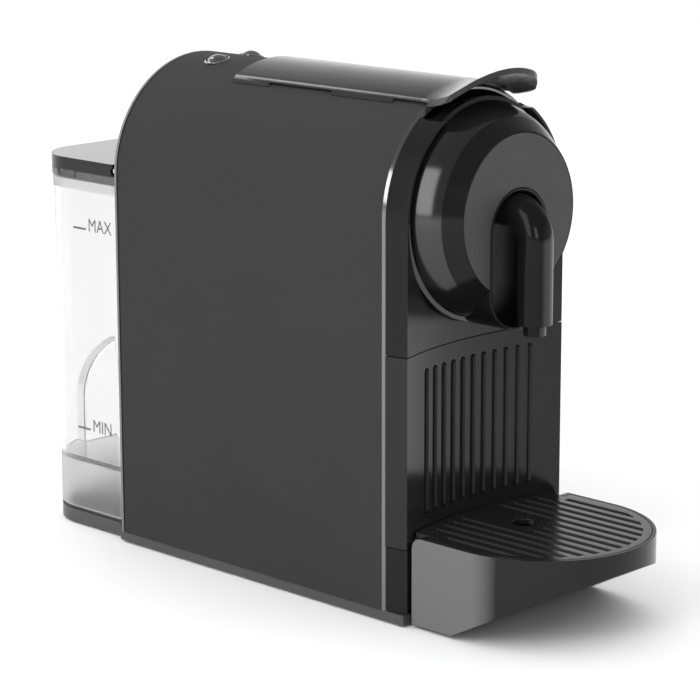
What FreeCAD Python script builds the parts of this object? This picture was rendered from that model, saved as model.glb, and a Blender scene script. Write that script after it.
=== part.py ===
"""Pod coffee machine: arch casing, lever-driven brew unit, slide-out drip drawer and lift-off tank.

Millimetres, +Z up, front towards -Y, origin under the middle of the machine on the table top.
"""
import FreeCAD, Part
import math
import os
import Sketcher

V = FreeCAD.Vector
doc = FreeCAD.newDocument("pod_coffee_machine")

# Driving dimensions
SIZES = {
    # casing
    "body_width": 110, "body_height": 236, "shell_length": 178.5, "shell_wall": 2.5, "edge_bevel": 1.6,
    "foot_height": 1, "foot_width": 9, "foot_length": 22, "foot_inset": 14, "foot_side": 32,
    "base_thickness": 4.6, "base_inset": 0.7, "panel_thickness": 3, "rear_recess": 2,
    # clearances
    "run_gap": 0.3, "pin_gap": 0.05, "seat_gap": 0.2,
    # front housing and container front
    "band_depth": 10.8, "band_inset": 0.5, "band_taper": 2.5, "spigot_depth": 8, "spigot_wall": 2,
    "hollow_radius": 168, "hollow_wall": 2.55, "seam_margin": 4, "seam_gap": 0.4,
    "sill_height": 35.2, "sill_post": 8, "sill_bar": 5.6,
    "groove_count": 11, "groove_pitch": 6.9, "groove_width": 3.8, "groove_depth": 1.6,
    "groove_low": 47, "groove_clear": 7.6,
    # brewing head at the front
    "rim_margin": 4.7, "rim_depth": 8, "rim_step": 0.6, "drum_margin": 6.6, "drum_bulge": 34,
    "crease_margin": 12.5, "crease_depth": 21.5, "disc_margin": 18.7, "disc_depth": 29.2,
    "disc_thickness": 2, "disc_ledge": 3, "drum_wall": 2.5, "drum_seat": 2, "seat_ring": 4.5,
    "niche_width": 38, "niche_rise": 12.1, "niche_drop": 3.1, "niche_depth": 12, "niche_wall": 1.4,
    "niche_back": 4, "spout_radius": 7.8, "spout_reach": 38.6, "spout_rise": 2.2, "spout_bend": 13,
    "spout_lift": 4.1, "spout_bore": 3, "bore_step": 1.2, "nozzle_radius": 5, "nozzle_length": 5,
    "nozzle_bore": 2.5,
    # brew unit, with heights measured down from the crown
    "brew_drop": 36, "frame_half": 26.5, "frame_sheet": 2.5, "frame_drop": 64, "frame_rear": 159,
    "plate_back": 36, "brew_block": 12, "block_drop": 58, "plate_radius": 17, "plate_thickness": 2,
    "stud_side": 2.2, "stud_pitch": 5.4, "stud_height": 1.2, "outlet_radius": 4, "outlet_bore": 2.5,
    "guide_half": 19, "guide_drop": 23, "guide_start": 38, "guide_end": 62,
    "cage_radius": 19, "cage_bore": 15.6, "cage_floor_bore": 12.8, "cage_depth": 31, "cage_floor": 3,
    "flange_gap": 0.4, "piston_radius": 14, "piston_length": 35, "piston_bore": 3.4, "piston_travel": 28,
    "cam_pin_radius": 2.5, "cam_pin_back": 12, "cam_pin_root": 8, "cam_pin_tip": 29.5,
    "needle_radius": 1.2, "needle_length": 6, "needle_circle": 8, "seal_radius": 0.9, "seal_back": 3.6,
    "bar_thickness": 4, "bar_depth": 24, "bar_drop": 20, "pipe_radius": 3, "pipe_bore": 1.6,
    "pipe_front": 99,
    # lever
    "lever_angle": 70, "pivot_back": 138, "pivot_drop": 17, "pivot_radius": 2, "hub_radius": 5.5,
    "arm_half": 23.5, "arm_sheet": 2.5, "cam_margin": 5, "neck_width": 9, "arm_top_front": 66,
    "arm_top_rear": 46, "lever_rear": 123, "lever_bend": 5, "cover_rise": 1.8, "cover_half": 26,
    "cover_wall": 1.3, "flange_half": 28.4, "lip_half": 31, "lip_reach": 23, "lip_thickness": 3.2,
    "lip_wall": 2.6, "lip_corner": 18, "lip_side": 3.7, "lip_rise": 7, "lip_level": 1, "lip_edge": 0.56,
    "relief_height": 1.7, "relief_nose": 21, "relief_front": 59, "relief_rear": 99,
    "opening_half": 26, "opening_front": 12, "opening_rear": 112, "lever_notch": 32.5,
    # buttons
    "button_side": 11.4, "button_back": 151, "button_radius": 5.1, "button_dome": 2.6, "button_skirt": 3.4,
    "button_travel": 1.5, "stem_radius": 2.2, "stem_drop": 11, "bezel_wall": 0.45, "bezel_flange": 0.5,
    "bezel_height": 0.8, "hole_depth": 16,
    "board_half": 19, "board_front": 143, "board_length": 22, "board_thickness": 1.6, "switch_side": 6,
    "switch_gap": 1.5,
    # water tank
    "tank_gap": 2.5, "tank_depth": 62, "tank_inset": 5, "tank_corner": 24, "tank_edge": 4, "tank_wall": 2.2,
    "tank_floor": 33, "floor_thickness": 2.4, "tank_height": 179.3, "flange_height": 3.3, "flange_step": 1,
    "collar_height": 6, "collar_step": 0.5, "lid_height": 6, "lid_wall": 2, "knuckle_radius": 2.2,
    "lid_pin_radius": 1.25, "lid_pin_inset": 5, "ear_width": 4, "grip_half": 25, "grip_top": 83,
    "grip_depth": 6, "thumb_back": 211, "thumb_length": 13, "thumb_depth": 1.8,
    "tank_step": 1.2, "tank_base": 7.5, "tank_pad": 1.5,
    "valve_back": 20, "valve_radius": 6, "valve_flange": 9, "valve_low": 16, "valve_bore": 3,
    "coupling_radius": 11, "coupling_bore": 7.5, "coupling_neck": 6.5, "coupling_high": 24,
    "coupling_step": 18, "ring_radius": 0.55,
    # drawer
    "bin_inset": 9, "bin_length": 94, "bin_gap": 3, "bin_low": 14, "bin_clear": 6, "bin_wall": 2,
    "tray_reach": 95, "tray_inset": 4, "tray_gap": 1.8, "tray_top": 42, "tray_low": 1.5, "tray_corner": 5.4,
    "tray_foot": 36, "tray_rim": 9.6, "tray_wall": 2.5,
    "tray_ledge": 1.6, "grid_thickness": 2.5, "grid_rear": 20, "grid_margin": 4, "slot_count": 13,
    "slot_pitch": 6.9, "slot_width": 3, "finger_radius": 5.5, "finger_back": 34, "deck_inset": 1,
    "tongue_inset": 2, "tongue_length": 60, "tongue_thickness": 2.4, "runner_width": 6, "runner_inset": 3,
    # pump bay
    "pump_back": 136, "pump_radius": 17, "pump_neck": 10, "pump_high": 125, "bay_gap": 0.95,
    "boot_wall": 2.5, "boot_high": 20, "strap_low": 98, "strap_height": 9, "strap_wall": 2.5,
    "heater_near": 10, "heater_inset": 5.5, "heater_front": 117, "heater_rear": 168, "heater_low": 20,
    "heater_high": 126, "heater_fin": 4, "heater_leg": 6, "meter_radius": 8, "meter_high": 34,
    "meter_port": 27, "hose_radius": 3.2, "hose_bend": 12, "thermostat_radius": 7,
    "thermostat_height": 4, "gland_radius": 3.2, "gland_bore": 2.4, "gland_length": 10, "gland_side": 18,
}


class Dim:
    """A size that carries its number and the sheet formula that it comes from."""

    def __init__(self, text, value):
        self.text = text
        self.value = float(value)

    def join(self, sign, other, value, flip=False):
        pair = (dim(other).text, self.text) if flip else (self.text, dim(other).text)
        return Dim("(%s %s %s)" % (pair[0], sign, pair[1]), value)

    def __add__(self, other):
        return self.join("+", other, self.value + float(other))

    def __radd__(self, other):
        return self.join("+", other, float(other) + self.value, True)

    def __sub__(self, other):
        return self.join("-", other, self.value - float(other))

    def __rsub__(self, other):
        return self.join("-", other, float(other) - self.value, True)

    def __mul__(self, other):
        return self.join("*", other, self.value * float(other))

    def __rmul__(self, other):
        return self.join("*", other, float(other) * self.value, True)

    def __truediv__(self, other):
        return self.join("/", other, self.value / float(other))

    def __neg__(self):
        return Dim("(0 - %s)" % self.text, -self.value)

    def __float__(self):
        return self.value


def dim(value):
    return value if isinstance(value, Dim) else Dim(repr(float(value)), value)


def root(value):
    return Dim("sqrt(%s)" % value.text, math.sqrt(value.value))


class Sheet:
    """The spreadsheet of driving dimensions, read as attributes."""

    def __init__(self, cells):
        page = doc.addObject("Spreadsheet::Sheet", "sizes")
        for row, (alias, number) in enumerate(cells.items(), 1):
            page.set("A%d" % row, alias)
            page.set("B%d" % row, str(number))
            page.setAlias("B%d" % row, alias)
            setattr(self, alias, Dim("sizes." + alias, number))
        doc.recompute()


d = Sheet(SIZES)
nodes = {}


# Helpers that make bound objects
def bind(obj, prop, value):
    obj.setExpression(prop, dim(value).text)


def node(name, obj):
    obj.Label = name
    nodes[name] = obj
    return obj


def place(obj, at=(0, 0, 0), axis="Z"):
    turn = {"Z": FreeCAD.Rotation(), "Y": FreeCAD.Rotation(V(1, 0, 0), -90),
            "X": FreeCAD.Rotation(V(0, 1, 0), 90)}[axis]
    obj.Placement = FreeCAD.Placement(V(), turn)
    for letter, value in zip("xyz", at):
        bind(obj, "Placement.Base." + letter, value)
    return obj


def box(name, x, y, z):
    """A block between the given pairs of planes."""
    obj = doc.addObject("Part::Box", name)
    for prop, span in (("Length", x), ("Width", y), ("Height", z)):
        bind(obj, prop, dim(span[1]) - span[0])
    return place(obj, (x[0], y[0], z[0]))


def rod(name, axis, radius, centre, span):
    """A cylinder along an axis: centre is in the other two axes' order, span runs along it."""
    obj = doc.addObject("Part::Cylinder", name)
    bind(obj, "Radius", radius)
    bind(obj, "Height", dim(span[1]) - span[0])
    at = {"X": (span[0], centre[0], centre[1]), "Y": (centre[0], span[0], centre[1]),
          "Z": (centre[0], centre[1], span[0])}[axis]
    return place(obj, at, axis)


def cut(name, base, *tools):
    for count, tool in enumerate(tools):
        obj = doc.addObject("Part::Cut", "%s_cut%d" % (name, count))
        obj.Base = base
        obj.Tool = tool
        base = obj
    return base


def fuse(name, *parts):
    obj = doc.addObject("Part::MultiFuse", name + "_fuse")
    obj.Shapes = list(parts)
    obj.Refine = True
    return obj


def common(name, *parts):
    obj = doc.addObject("Part::MultiCommon", name + "_common")
    obj.Shapes = list(parts)
    return obj


def group(name, parts):
    obj = doc.addObject("Part::Compound", name + "_group")
    obj.Links = list(parts)
    return obj


def sketch(body, name, plane, path, offset=(0, 0, 0)):
    """A closed outline. A corner's third entry is the radius of the arc to it, left turn positive."""
    obj = body.newObject("Sketcher::SketchObject", name)
    obj.AttachmentSupport = [(next(f for f in body.Origin.OriginFeatures if f.Role == plane + "_Plane"), "")]
    obj.MapMode = "FlatFace"
    for letter, value in zip("xyz", offset):
        bind(obj, "AttachmentOffset.Base." + letter, value)
    corners = [V(float(p[0]), float(p[1]), 0) for p in path]
    ends = []
    for index, point in enumerate(path):
        start, end = corners[index - 1], corners[index]
        if len(point) == 2:
            obj.addGeometry(Part.LineSegment(start, end), False)
            ends.append((1, 2))
            continue
        radius = float(point[2])
        chord = end - start
        rise = math.copysign(math.sqrt(max(radius ** 2 - chord.Length ** 2 / 4, 0)), radius)
        centre = (start + end) / 2 + V(-chord.y, chord.x, 0) / chord.Length * rise
        circle = Part.Circle(centre, V(0, 0, 1), abs(radius))
        first, last = (start, end) if radius > 0 else (end, start)
        angles = [math.atan2(p.y - centre.y, p.x - centre.x) for p in (first, last)]
        obj.addGeometry(Part.ArcOfCircle(circle, *angles), False)
        ends.append((1, 2) if radius > 0 else (2, 1))

    def hold(value, *what):
        number = obj.addConstraint(Sketcher.Constraint(*what, float(value)))
        bind(obj, "Constraints[%d]" % number, value)

    for index in range(len(path)):
        after = (index + 1) % len(path)
        obj.addConstraint(Sketcher.Constraint("Coincident", index, ends[index][1], after, ends[after][0]))
    for index, point in enumerate(path):
        hold(point[0], "DistanceX", -1, 1, index, ends[index][1])
        hold(point[1], "DistanceY", -1, 1, index, ends[index][1])
        if len(point) == 3:
            chord = corners[index] - corners[index - 1]
            if abs(chord.Length - 2 * abs(float(point[2]))) > 1e-6:
                hold(point[2] if float(point[2]) > 0 else -dim(point[2]), "Radius", index)
            elif abs(chord.x) > abs(chord.y):
                hold((dim(path[index - 1][1]) + point[1]) / 2, "DistanceY", -1, 1, index, 3)
            else:
                hold((dim(path[index - 1][0]) + point[0]) / 2, "DistanceX", -1, 1, index, 3)
    return obj


def prism(name, plane, path, low, high, bevel=None):
    """A body padded from an outline between two places along the plane's axis."""
    body = doc.addObject("PartDesign::Body", name)
    start = -dim(high) if plane == "XZ" else low
    outline = sketch(body, name + "_outline", plane, path, (0, 0, start))
    pad = body.newObject("PartDesign::Pad", name + "_pad")
    pad.Profile = outline
    bind(pad, "Length", dim(high) - low)
    if bevel:
        test, size, kind = bevel
        doc.recompute()
        edges = ["Edge%d" % (i + 1) for i, e in enumerate(pad.Shape.Edges) if test(e)]
        trim = body.newObject("PartDesign::" + kind, name + "_bevel")
        trim.Base = (pad, edges)
        bind(trim, "Size" if kind == "Chamfer" else "Radius", size)
        body.Tip = trim
    return body


def turned(name, axis, path, at=(0, 0)):
    """A body revolved about a line along an axis. Corners are (along, radius), or (radius, along) for Z."""
    body = doc.addObject("PartDesign::Body", name)
    plane, offset, line = {"Y": ("YZ", (0, at[1], at[0]), "H_Axis"), "X": ("XY", (0, at[0], at[1]), "H_Axis"),
                           "Z": ("XZ", (at[0], 0, -dim(at[1])), "V_Axis")}[axis]
    outline = sketch(body, name + "_outline", plane, path, offset)
    spin = body.newObject("PartDesign::Revolution", name + "_turn")
    spin.Profile = outline
    spin.ReferenceAxis = (outline, [line])
    spin.Angle = 360
    return body


def lofted(name, sections, ruled):
    """A body lofted through outlines that stand across Y at the given places."""
    body = doc.addObject("PartDesign::Body", name)
    outlines = [sketch(body, "%s_outline%d" % (name, i), "XZ", path, (0, 0, -dim(along)))
                for i, (along, path) in enumerate(sections)]
    loft = body.newObject("PartDesign::AdditiveLoft", name + "_loft")
    loft.Profile = outlines[0]
    loft.Sections = outlines[1:]
    loft.Ruled = ruled
    return body


def tube(name, points, radius, bend):
    """A hose through points: straight runs joined by tangent bends of one radius."""
    points = [V(*[float(c) for c in p]) for p in points]
    radius, bend = float(radius), float(bend)

    def disc_at(spot, heading):
        return Part.Face(Part.Wire(Part.makeCircle(radius, spot, heading)))

    runs = []
    start = points[0]
    for before, corner, after in zip(points, points[1:], points[2:]):
        way_in = (corner - before).normalize()
        way_out = (after - corner).normalize()
        turn = way_in.getAngle(way_out)
        back = bend * math.tan(turn / 2)
        first, last = corner - way_in * back, corner + way_out * back
        hinge = way_in.cross(way_out)
        centre = first + hinge.cross(way_in).normalize() * bend
        runs += [disc_at(start, way_in).extrude(first - start),
                 disc_at(first, way_in).revolve(centre, hinge, math.degrees(turn))]
        start = last
    runs.append(disc_at(start, points[-1] - start).extrude(points[-1] - start))
    obj = doc.addObject("Part::Feature", name)
    obj.Shape = runs[0].fuse(runs[1:]) if len(runs) > 1 else runs[0]
    return obj


# Shared places
half = d.body_width / 2
front = (d.tray_reach - d.shell_length - d.tank_gap - d.tank_depth - d.flange_step) / 2
rear = front + d.shell_length
arch_z = d.body_height - half
base_top = d.foot_height + d.base_thickness
inner = half - d.shell_wall
over = 1.0
seam_z = arch_z - half - d.seam_margin
frame_low = d.body_height - d.frame_drop
brew_z = d.body_height - d.brew_drop
pivot_z = d.body_height - d.pivot_drop
pivot_y = front + d.pivot_back
pin_y = front + d.plate_back + d.flange_gap + d.cage_depth + d.cam_pin_back
tank_front = rear + d.tank_gap
tank_rear = tank_front + d.tank_depth
tank_half = half - d.tank_inset


def arch(half_width, low, centre=None):
    """Upright sides under a half circle."""
    top = arch_z if centre is None else centre
    return [(-half_width, low), (half_width, low), (half_width, top), (-half_width, top, half_width)]


def stadium(half_width, low, high):
    """A slot outline with round ends."""
    return [(half_width, high - half_width), (-half_width, high - half_width, half_width),
            (-half_width, low + half_width), (half_width, low + half_width, half_width)]


def inside_shell(name):
    """The room inside the casing, less the running gap."""
    return prism(name, "XZ", arch(inner - d.run_gap, base_top), front, rear)


def front_scoop(name, radius, low, high):
    """The upright cylinder that hollows the front face for the cup."""
    return rod(name, "Z", radius, (0, front - d.hollow_wall - d.hollow_radius), (low, high))


def on_arch(obj, side):
    """Lean a piece that is built on the crown over to the button's place."""
    lean = math.degrees(math.asin(float(d.button_side) / float(half)))
    shape = obj.Shape.copy()
    shape.rotate(V(0, 0, float(arch_z)), V(0, 1, 0), side * lean)
    return shape


# Base plate, feet and gland
def tank_outline(grow):
    """Plan of the tank: flat towards the machine, large round corners at the back."""
    w, edge, corner = tank_half + grow, d.tank_edge + grow, d.tank_corner + grow
    near, far = tank_front - grow, tank_rear + grow
    return [(w - edge, near), (w, near + edge, edge), (w, far - corner),
            (w - corner, far, corner), (-w + corner, far), (-w, far - corner, corner), (-w, near + edge),
            (-w + edge, near, edge)]


base_half = half - d.base_inset


base_body = box("base_slab", (-base_half, base_half), (front - d.band_depth, rear), (d.foot_height, base_top))
tank_slab = prism("tank_slab", "XY", tank_outline(0), d.foot_height, d.tank_base)
tank_link = box("tank_link", (-tank_half, tank_half), (rear - d.tank_edge, tank_front + d.tank_edge),
                (d.foot_height, base_top))
pad_low = d.tank_base - over
pad_high = d.tank_base + d.tank_pad
tank_pad = prism("tank_pad", "XY", tank_outline(-d.tank_step), pad_low, pad_high)
gland_z = d.foot_height + (d.tank_base - d.foot_height) / 2
gland_span = (tank_rear - d.gland_length, tank_rear)
gland_hole = rod("gland_hole", "Y", d.gland_radius, (d.gland_side, gland_z), gland_span)
node("base_plate", cut("base_plate", fuse("base", base_body, tank_slab, tank_link, tank_pad), gland_hole))
node("cord_gland", cut("gland", rod("gland_body", "Y", d.gland_radius, (d.gland_side, gland_z), gland_span),
                       rod("gland_way", "Y", d.gland_bore, (d.gland_side, gland_z),
                           (gland_span[0] - over, gland_span[1] + over))))
foot_rows = (front + d.foot_inset, tank_rear - d.tank_corner)
foot_columns = (-d.foot_side, d.foot_side)
feet = [box("foot%d%d" % (i, j), (column - d.foot_length / 2, column + d.foot_length / 2),
            (row - d.foot_width / 2, row + d.foot_width / 2), (0, d.foot_height))
        for i, column in enumerate(foot_columns) for j, row in enumerate(foot_rows)]
node("base_feet", group("base_feet", feet))

# Arch casing with the lever opening and the two button holes
outer_arch = prism("shell_outer", "XZ", arch(half, base_top), front, rear,
                   (lambda e: e.BoundBox.YLength < 1e-6 and e.BoundBox.ZMax > float(base_top) + over,
                    d.edge_bevel, "Chamfer"))
inner_arch = prism("shell_inner", "XZ", arch(inner, base_top - over), front - over, rear + over)
lever_opening = box("lever_opening", (-d.opening_half, d.opening_half),
                    (front + d.opening_front, front + d.opening_rear), (arch_z, d.body_height + over))
button_y = front + d.button_back
hole_radius = d.button_radius + d.run_gap + d.bezel_wall + d.pin_gap


def leaned(name, source, side):
    """A copy of a piece on the crown, leaned over to the left or right button's place."""
    obj = doc.addObject("Part::Feature", name)
    doc.recompute()
    obj.Shape = on_arch(source, side)
    return obj


hole_model = rod("button_hole", "Z", hole_radius, (0, button_y),
                 (d.body_height - d.hole_depth, d.body_height + over))
button_holes = group("button_holes", [leaned("button_hole%d" % i, hole_model, side)
                                      for i, side in enumerate((-1, 1))])
node("arch_shell", cut("arch_shell", outer_arch, inner_arch, lever_opening, button_holes))

# Rear panel and partition wall
panel_rear = rear - d.rear_recess
hose_z = (d.tank_base + d.tank_pad + d.coupling_step) / 2
panel_front = panel_rear - d.panel_thickness
rear_arch = prism("rear_arch", "XZ", arch(inner - d.run_gap, base_top), panel_front, panel_rear)
feed_hole = rod("feed_hole", "Y", d.hose_radius + d.run_gap, (0, hose_z),
                (panel_front - over, panel_rear + over))
node("rear_panel", cut("rear_panel", rear_arch, feed_hole))
wall_front = front + d.bin_length + d.bin_gap
node("partition_wall", box("wall_slab", (-inner + d.run_gap, inner - d.run_gap),
                           (wall_front, wall_front + d.panel_thickness), (base_top, frame_low)))

# Front housing: tapering band, concave face, round seat for the head
band_out = half - d.band_inset
band_front = front - d.band_depth


def front_block(name, low, high):
    """The tapering front of the machine between two heights."""
    body = lofted(name + "_band", [(front, arch(band_out, base_top)),
                                   (band_front, arch(band_out - d.band_taper, base_top))], True)
    keep = box(name + "_keep", (-half, half), (band_front - over, front + over), (low, high))
    return common(name, body, keep)


seam_top = seam_z + d.seam_gap
upper_block = front_block("upper_block", seam_top, d.body_height + over)
spigot = cut("spigot", prism("spigot_outer", "XZ", arch(inner - d.run_gap, seam_top), front - over,
                             front + d.spigot_depth),
             prism("spigot_inner", "XZ", arch(inner - d.run_gap - d.spigot_wall, seam_top - over),
                   front - over, front + d.spigot_depth + over))
rim_radius = half - d.rim_margin
rim_seat = rim_radius + d.run_gap
crease_radius = half - d.crease_margin
housing_span = (band_front - over, front + d.spigot_depth + over)
notch = box("lever_notch", (-d.lever_notch, d.lever_notch), housing_span,
            (arch_z + crease_radius, d.body_height + 2 * over))
node("front_housing", cut("front_housing", fuse("front_moulding", upper_block, spigot),
                          front_scoop("upper_scoop", d.hollow_radius, seam_top - over, arch_z),
                          rod("rim_hole", "Y", rim_seat, (0, arch_z),
                              (band_front - over, front - d.drum_seat)),
                          rod("seat_hole", "Y", rim_seat - d.seat_ring, (0, arch_z),
                              (front - d.drum_seat - over, front + d.spigot_depth + over)), notch))

# Front sill: corner posts beside the drip tray
sill_block = front_block("sill_block", base_top, d.sill_height)
sill_gap = box("sill_gap", (-(band_out - d.sill_post), band_out - d.sill_post),
               (band_front - 2 * over, front + 2 * over), (base_top + d.sill_bar, d.sill_height + over))
node("front_sill", cut("front_sill", sill_block, sill_gap))

# Head: turned drum, satin disc, spout niche, spout
drum_radius = half - d.drum_margin
disc_radius = half - d.disc_margin
niche_half = d.niche_width / 2
niche_top = arch_z + d.niche_rise
niche_bottom = arch_z - drum_radius - d.niche_drop
spout_z = arch_z + d.spout_rise
spout_low = niche_bottom + d.spout_lift
disc_face = front - d.disc_depth
niche_rear = front - d.niche_back
drum_inner = drum_radius - d.drum_wall
drum_path = [(front - d.drum_seat, drum_inner), (front - d.drum_seat, rim_radius),
             (front - d.rim_depth, rim_radius), (front - d.rim_depth - d.rim_step, drum_radius),
             (front - d.crease_depth, crease_radius, d.drum_bulge),
             (disc_face, disc_radius + d.run_gap), (disc_face + d.disc_thickness, disc_radius + d.run_gap),
             (disc_face + d.disc_thickness, disc_radius - d.disc_ledge),
             (disc_face + 2 * d.disc_thickness, disc_radius - d.disc_ledge),
             (front - d.crease_depth + d.drum_wall / 2, crease_radius - d.drum_wall)]
niche_hole = prism("niche_hole", "XZ", stadium(niche_half + d.pin_gap, niche_bottom - d.pin_gap,
                                               niche_top + d.pin_gap), disc_face - over, front)
node("head_drum", cut("head_drum", turned("drum", "Y", drum_path, (0, arch_z)), niche_hole))
disc = rod("disc", "Y", disc_radius, (0, arch_z), (disc_face, disc_face + d.disc_thickness))
node("head_disc", cut("head_disc", disc, niche_hole))
niche_floor = disc_face + d.niche_depth
hollow_half = niche_half - d.niche_wall
hollow_low = niche_bottom + d.niche_wall
hollow_high = niche_top - d.niche_wall
node("spout_niche", cut(
    "spout_niche",
    prism("niche_block", "XZ", stadium(niche_half, niche_bottom, niche_top), disc_face, niche_rear),
    prism("niche_front", "XZ", stadium(hollow_half, hollow_low, hollow_high), disc_face - over, niche_floor),
    prism("niche_behind", "XZ", stadium(hollow_half, hollow_low, hollow_high), niche_floor + d.niche_wall,
          niche_rear + over),
    rod("outlet_hole", "Y", d.outlet_radius + d.pin_gap, (0, spout_z), (niche_floor - over, niche_rear))))
spout_y = front - d.spout_reach
bend_y = spout_y + d.spout_bend
bend_z = spout_z - d.spout_bend
bend = doc.addObject("Part::Torus", "spout_arc")
bind(bend, "Radius1", d.spout_bend)
bind(bend, "Radius2", d.spout_radius)
bend.Angle3 = 90
place(bend, (0, bend_y, bend_z))
bend.Placement.Rotation = FreeCAD.Rotation(V(0, 0, 1), V(0, -1, 0), V(1, 0, 0), "ZXY")
spout_body = fuse("spout_body", bend,
                  rod("spout_run", "Y", d.spout_radius, (0, spout_z), (bend_y, niche_floor)),
                  rod("spout_drop", "Z", d.spout_radius, (0, spout_y), (spout_low, bend_z)))
node("spout", cut("spout", spout_body,
                  rod("run_bore", "Y", d.spout_bore, (0, spout_z), (spout_y, niche_floor + over)),
                  rod("drop_bore", "Z", d.spout_bore, (0, spout_y),
                      (spout_low - over, spout_z - d.bore_step))))
node("spout_nozzle", turned("nozzle", "Z", [
    (d.nozzle_bore, spout_low - d.nozzle_length), (d.nozzle_radius, spout_low - d.nozzle_length),
    (d.nozzle_radius, spout_low), (d.nozzle_bore, spout_low)], (0, spout_y)))

# Brew frame: two side plates, brew head, extraction plate, outlet, guides, cross bar
plate_face = front + d.plate_back
block_front = plate_face - d.plate_thickness - d.brew_block
block_low = d.body_height - d.block_drop
frame_out = d.frame_half + d.frame_sheet
frame_front = front + d.spigot_depth + d.run_gap
slot_half = d.cam_pin_radius + d.run_gap


def side_plate(side, name):
    low, high = (d.frame_half, frame_out) if side > 0 else (-frame_out, -d.frame_half)
    sheet = box(name + "_sheet", (low, high), (frame_front, front + d.frame_rear),
                (frame_low, d.body_height))
    across = (dim(low) - over, dim(high) + over)
    slide = fuse(name + "_slide",
                 rod(name + "_slot0", "X", slot_half, (pin_y, brew_z), across),
                 rod(name + "_slot1", "X", slot_half, (pin_y + d.piston_travel, brew_z), across),
                 box(name + "_slot2", across, (pin_y, pin_y + d.piston_travel),
                     (brew_z - slot_half, brew_z + slot_half)))
    return cut(name, common(name, sheet, inside_shell(name + "_room")), slide,
               rod(name + "_eye", "X", d.pivot_radius + d.pin_gap, (pivot_y, pivot_z), across))


for side, word in ((-1, "left"), (1, "right")):
    node("brew_frame_" + word, side_plate(side, "brew_frame_" + word))
outlet_span = (niche_floor, plate_face - d.plate_thickness)
block_room = prism("block_room", "XZ", arch(inner - d.run_gap, block_low), block_front,
                   plate_face - d.plate_thickness)
block = common("brew_block", block_room, box("block_limit", (-d.frame_half, d.frame_half),
                                             (block_front - over, plate_face), (block_low, d.body_height)))
node("brew_head", cut("brew_head", block, rod("block_way", "Y", d.outlet_radius + d.pin_gap, (0, spout_z),
                                              (block_front - over, plate_face))))
outlet_path = [(outlet_span[0], d.outlet_bore), (outlet_span[0], d.outlet_radius),
               (outlet_span[1], d.outlet_radius), (outlet_span[1], d.outlet_bore)]
node("coffee_outlet", turned("outlet", "Y", outlet_path, (0, spout_z)))
studs = [box("stud%d%d" % (i, j), (i * d.stud_pitch - d.stud_side / 2, i * d.stud_pitch + d.stud_side / 2),
             (plate_face - d.stud_height, plate_face),
             (brew_z + j * d.stud_pitch - d.stud_side / 2,
              brew_z + j * d.stud_pitch + d.stud_side / 2))
         for i in range(-2, 3) for j in range(-2, 3) if abs(i * j) < 4]
sieve = rod("sieve", "Y", d.plate_radius, (0, brew_z),
            (plate_face - d.plate_thickness, plate_face - d.stud_height))
node("extraction_plate", fuse("extraction_plate", sieve, *studs))
for side, word in ((-1, "left"), (1, "right")):
    span = (d.guide_half, d.frame_half) if side > 0 else (-d.frame_half, -d.guide_half)
    rail = box("guide_" + word, span, (front + d.guide_start, front + d.guide_end),
               (d.body_height - d.guide_drop, d.body_height))
    node("capsule_guide_" + word, common("capsule_guide_" + word, rail, inside_shell("guide_room_" + word)))
bar_y = front + d.frame_rear - d.bar_thickness
bar_high = d.body_height - d.bar_drop
bar = box("bar", (-d.frame_half, d.frame_half), (bar_y, front + d.frame_rear),
          (bar_high - d.bar_depth, bar_high))
pipe_span = (front + d.pipe_front, front + d.frame_rear)
node("rear_cross_bar", cut("rear_cross_bar", bar, rod("bar_way", "Y", d.pipe_radius + d.pin_gap,
                                                      (0, brew_z), (bar_y - over, pipe_span[1] + over))))
node("water_pipe", turned("pipe", "Y", [(pipe_span[0], d.pipe_bore), (pipe_span[0], d.pipe_radius),
                                        (pipe_span[1], d.pipe_radius), (pipe_span[1], d.pipe_bore)],
                          (0, brew_z)))
node("lever_pin", rod("lever_pin_rod", "X", d.pivot_radius, (pivot_y, pivot_z), (-frame_out, frame_out)))

# Piston: cage, needles, seal, body and the two stub pins that ride in the cam slots
cage_mouth = plate_face + d.flange_gap
cage_rear = cage_mouth + d.cage_depth
node("capsule_cage", turned("cage", "Y", [
    (cage_mouth, d.cage_bore), (cage_mouth, d.cage_radius), (cage_rear, d.cage_radius),
    (cage_rear, d.piston_bore), (cage_rear - d.cage_floor, d.piston_bore),
    (cage_rear - d.cage_floor, d.cage_floor_bore)], (0, brew_z)))
needles = []
needle_root = cage_rear - d.cage_floor - d.plate_thickness
for count in range(3):
    swing = math.radians(90 + 120 * count)
    point = doc.addObject("Part::Wedge", "needle%d" % count)
    for prop, value in (("Xmin", -d.needle_radius), ("Xmax", d.needle_radius), ("Zmin", -d.needle_radius),
                        ("Zmax", d.needle_radius), ("Ymin", -d.needle_length), ("Ymax", 0),
                        ("X2min", -d.needle_radius), ("X2max", d.needle_radius), ("Z2min", -d.needle_radius),
                        ("Z2max", d.needle_radius)):
        bind(point, prop, value)
    needles.append(place(point, (d.needle_circle * math.cos(swing), needle_root,
                                 brew_z + d.needle_circle * math.sin(swing))))
needle_disc = rod("needle_disc", "Y", d.cage_floor_bore - d.run_gap, (0, brew_z),
                  (needle_root, cage_rear - d.cage_floor))
node("needle_plate", cut("needle_plate", fuse("needles", needle_disc, *needles),
                         rod("needle_way", "Y", d.piston_bore, (0, brew_z),
                             (cage_mouth, cage_rear))))
seal_y = cage_mouth + d.seal_back
node("cage_seal", turned("seal_ring", "Y", [
    (seal_y, d.cage_radius), (seal_y + d.seal_radius, d.cage_radius + d.seal_radius),
    (seal_y + 2 * d.seal_radius, d.cage_radius)], (0, brew_z)))
piston_rear = cage_rear + d.piston_length
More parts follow.
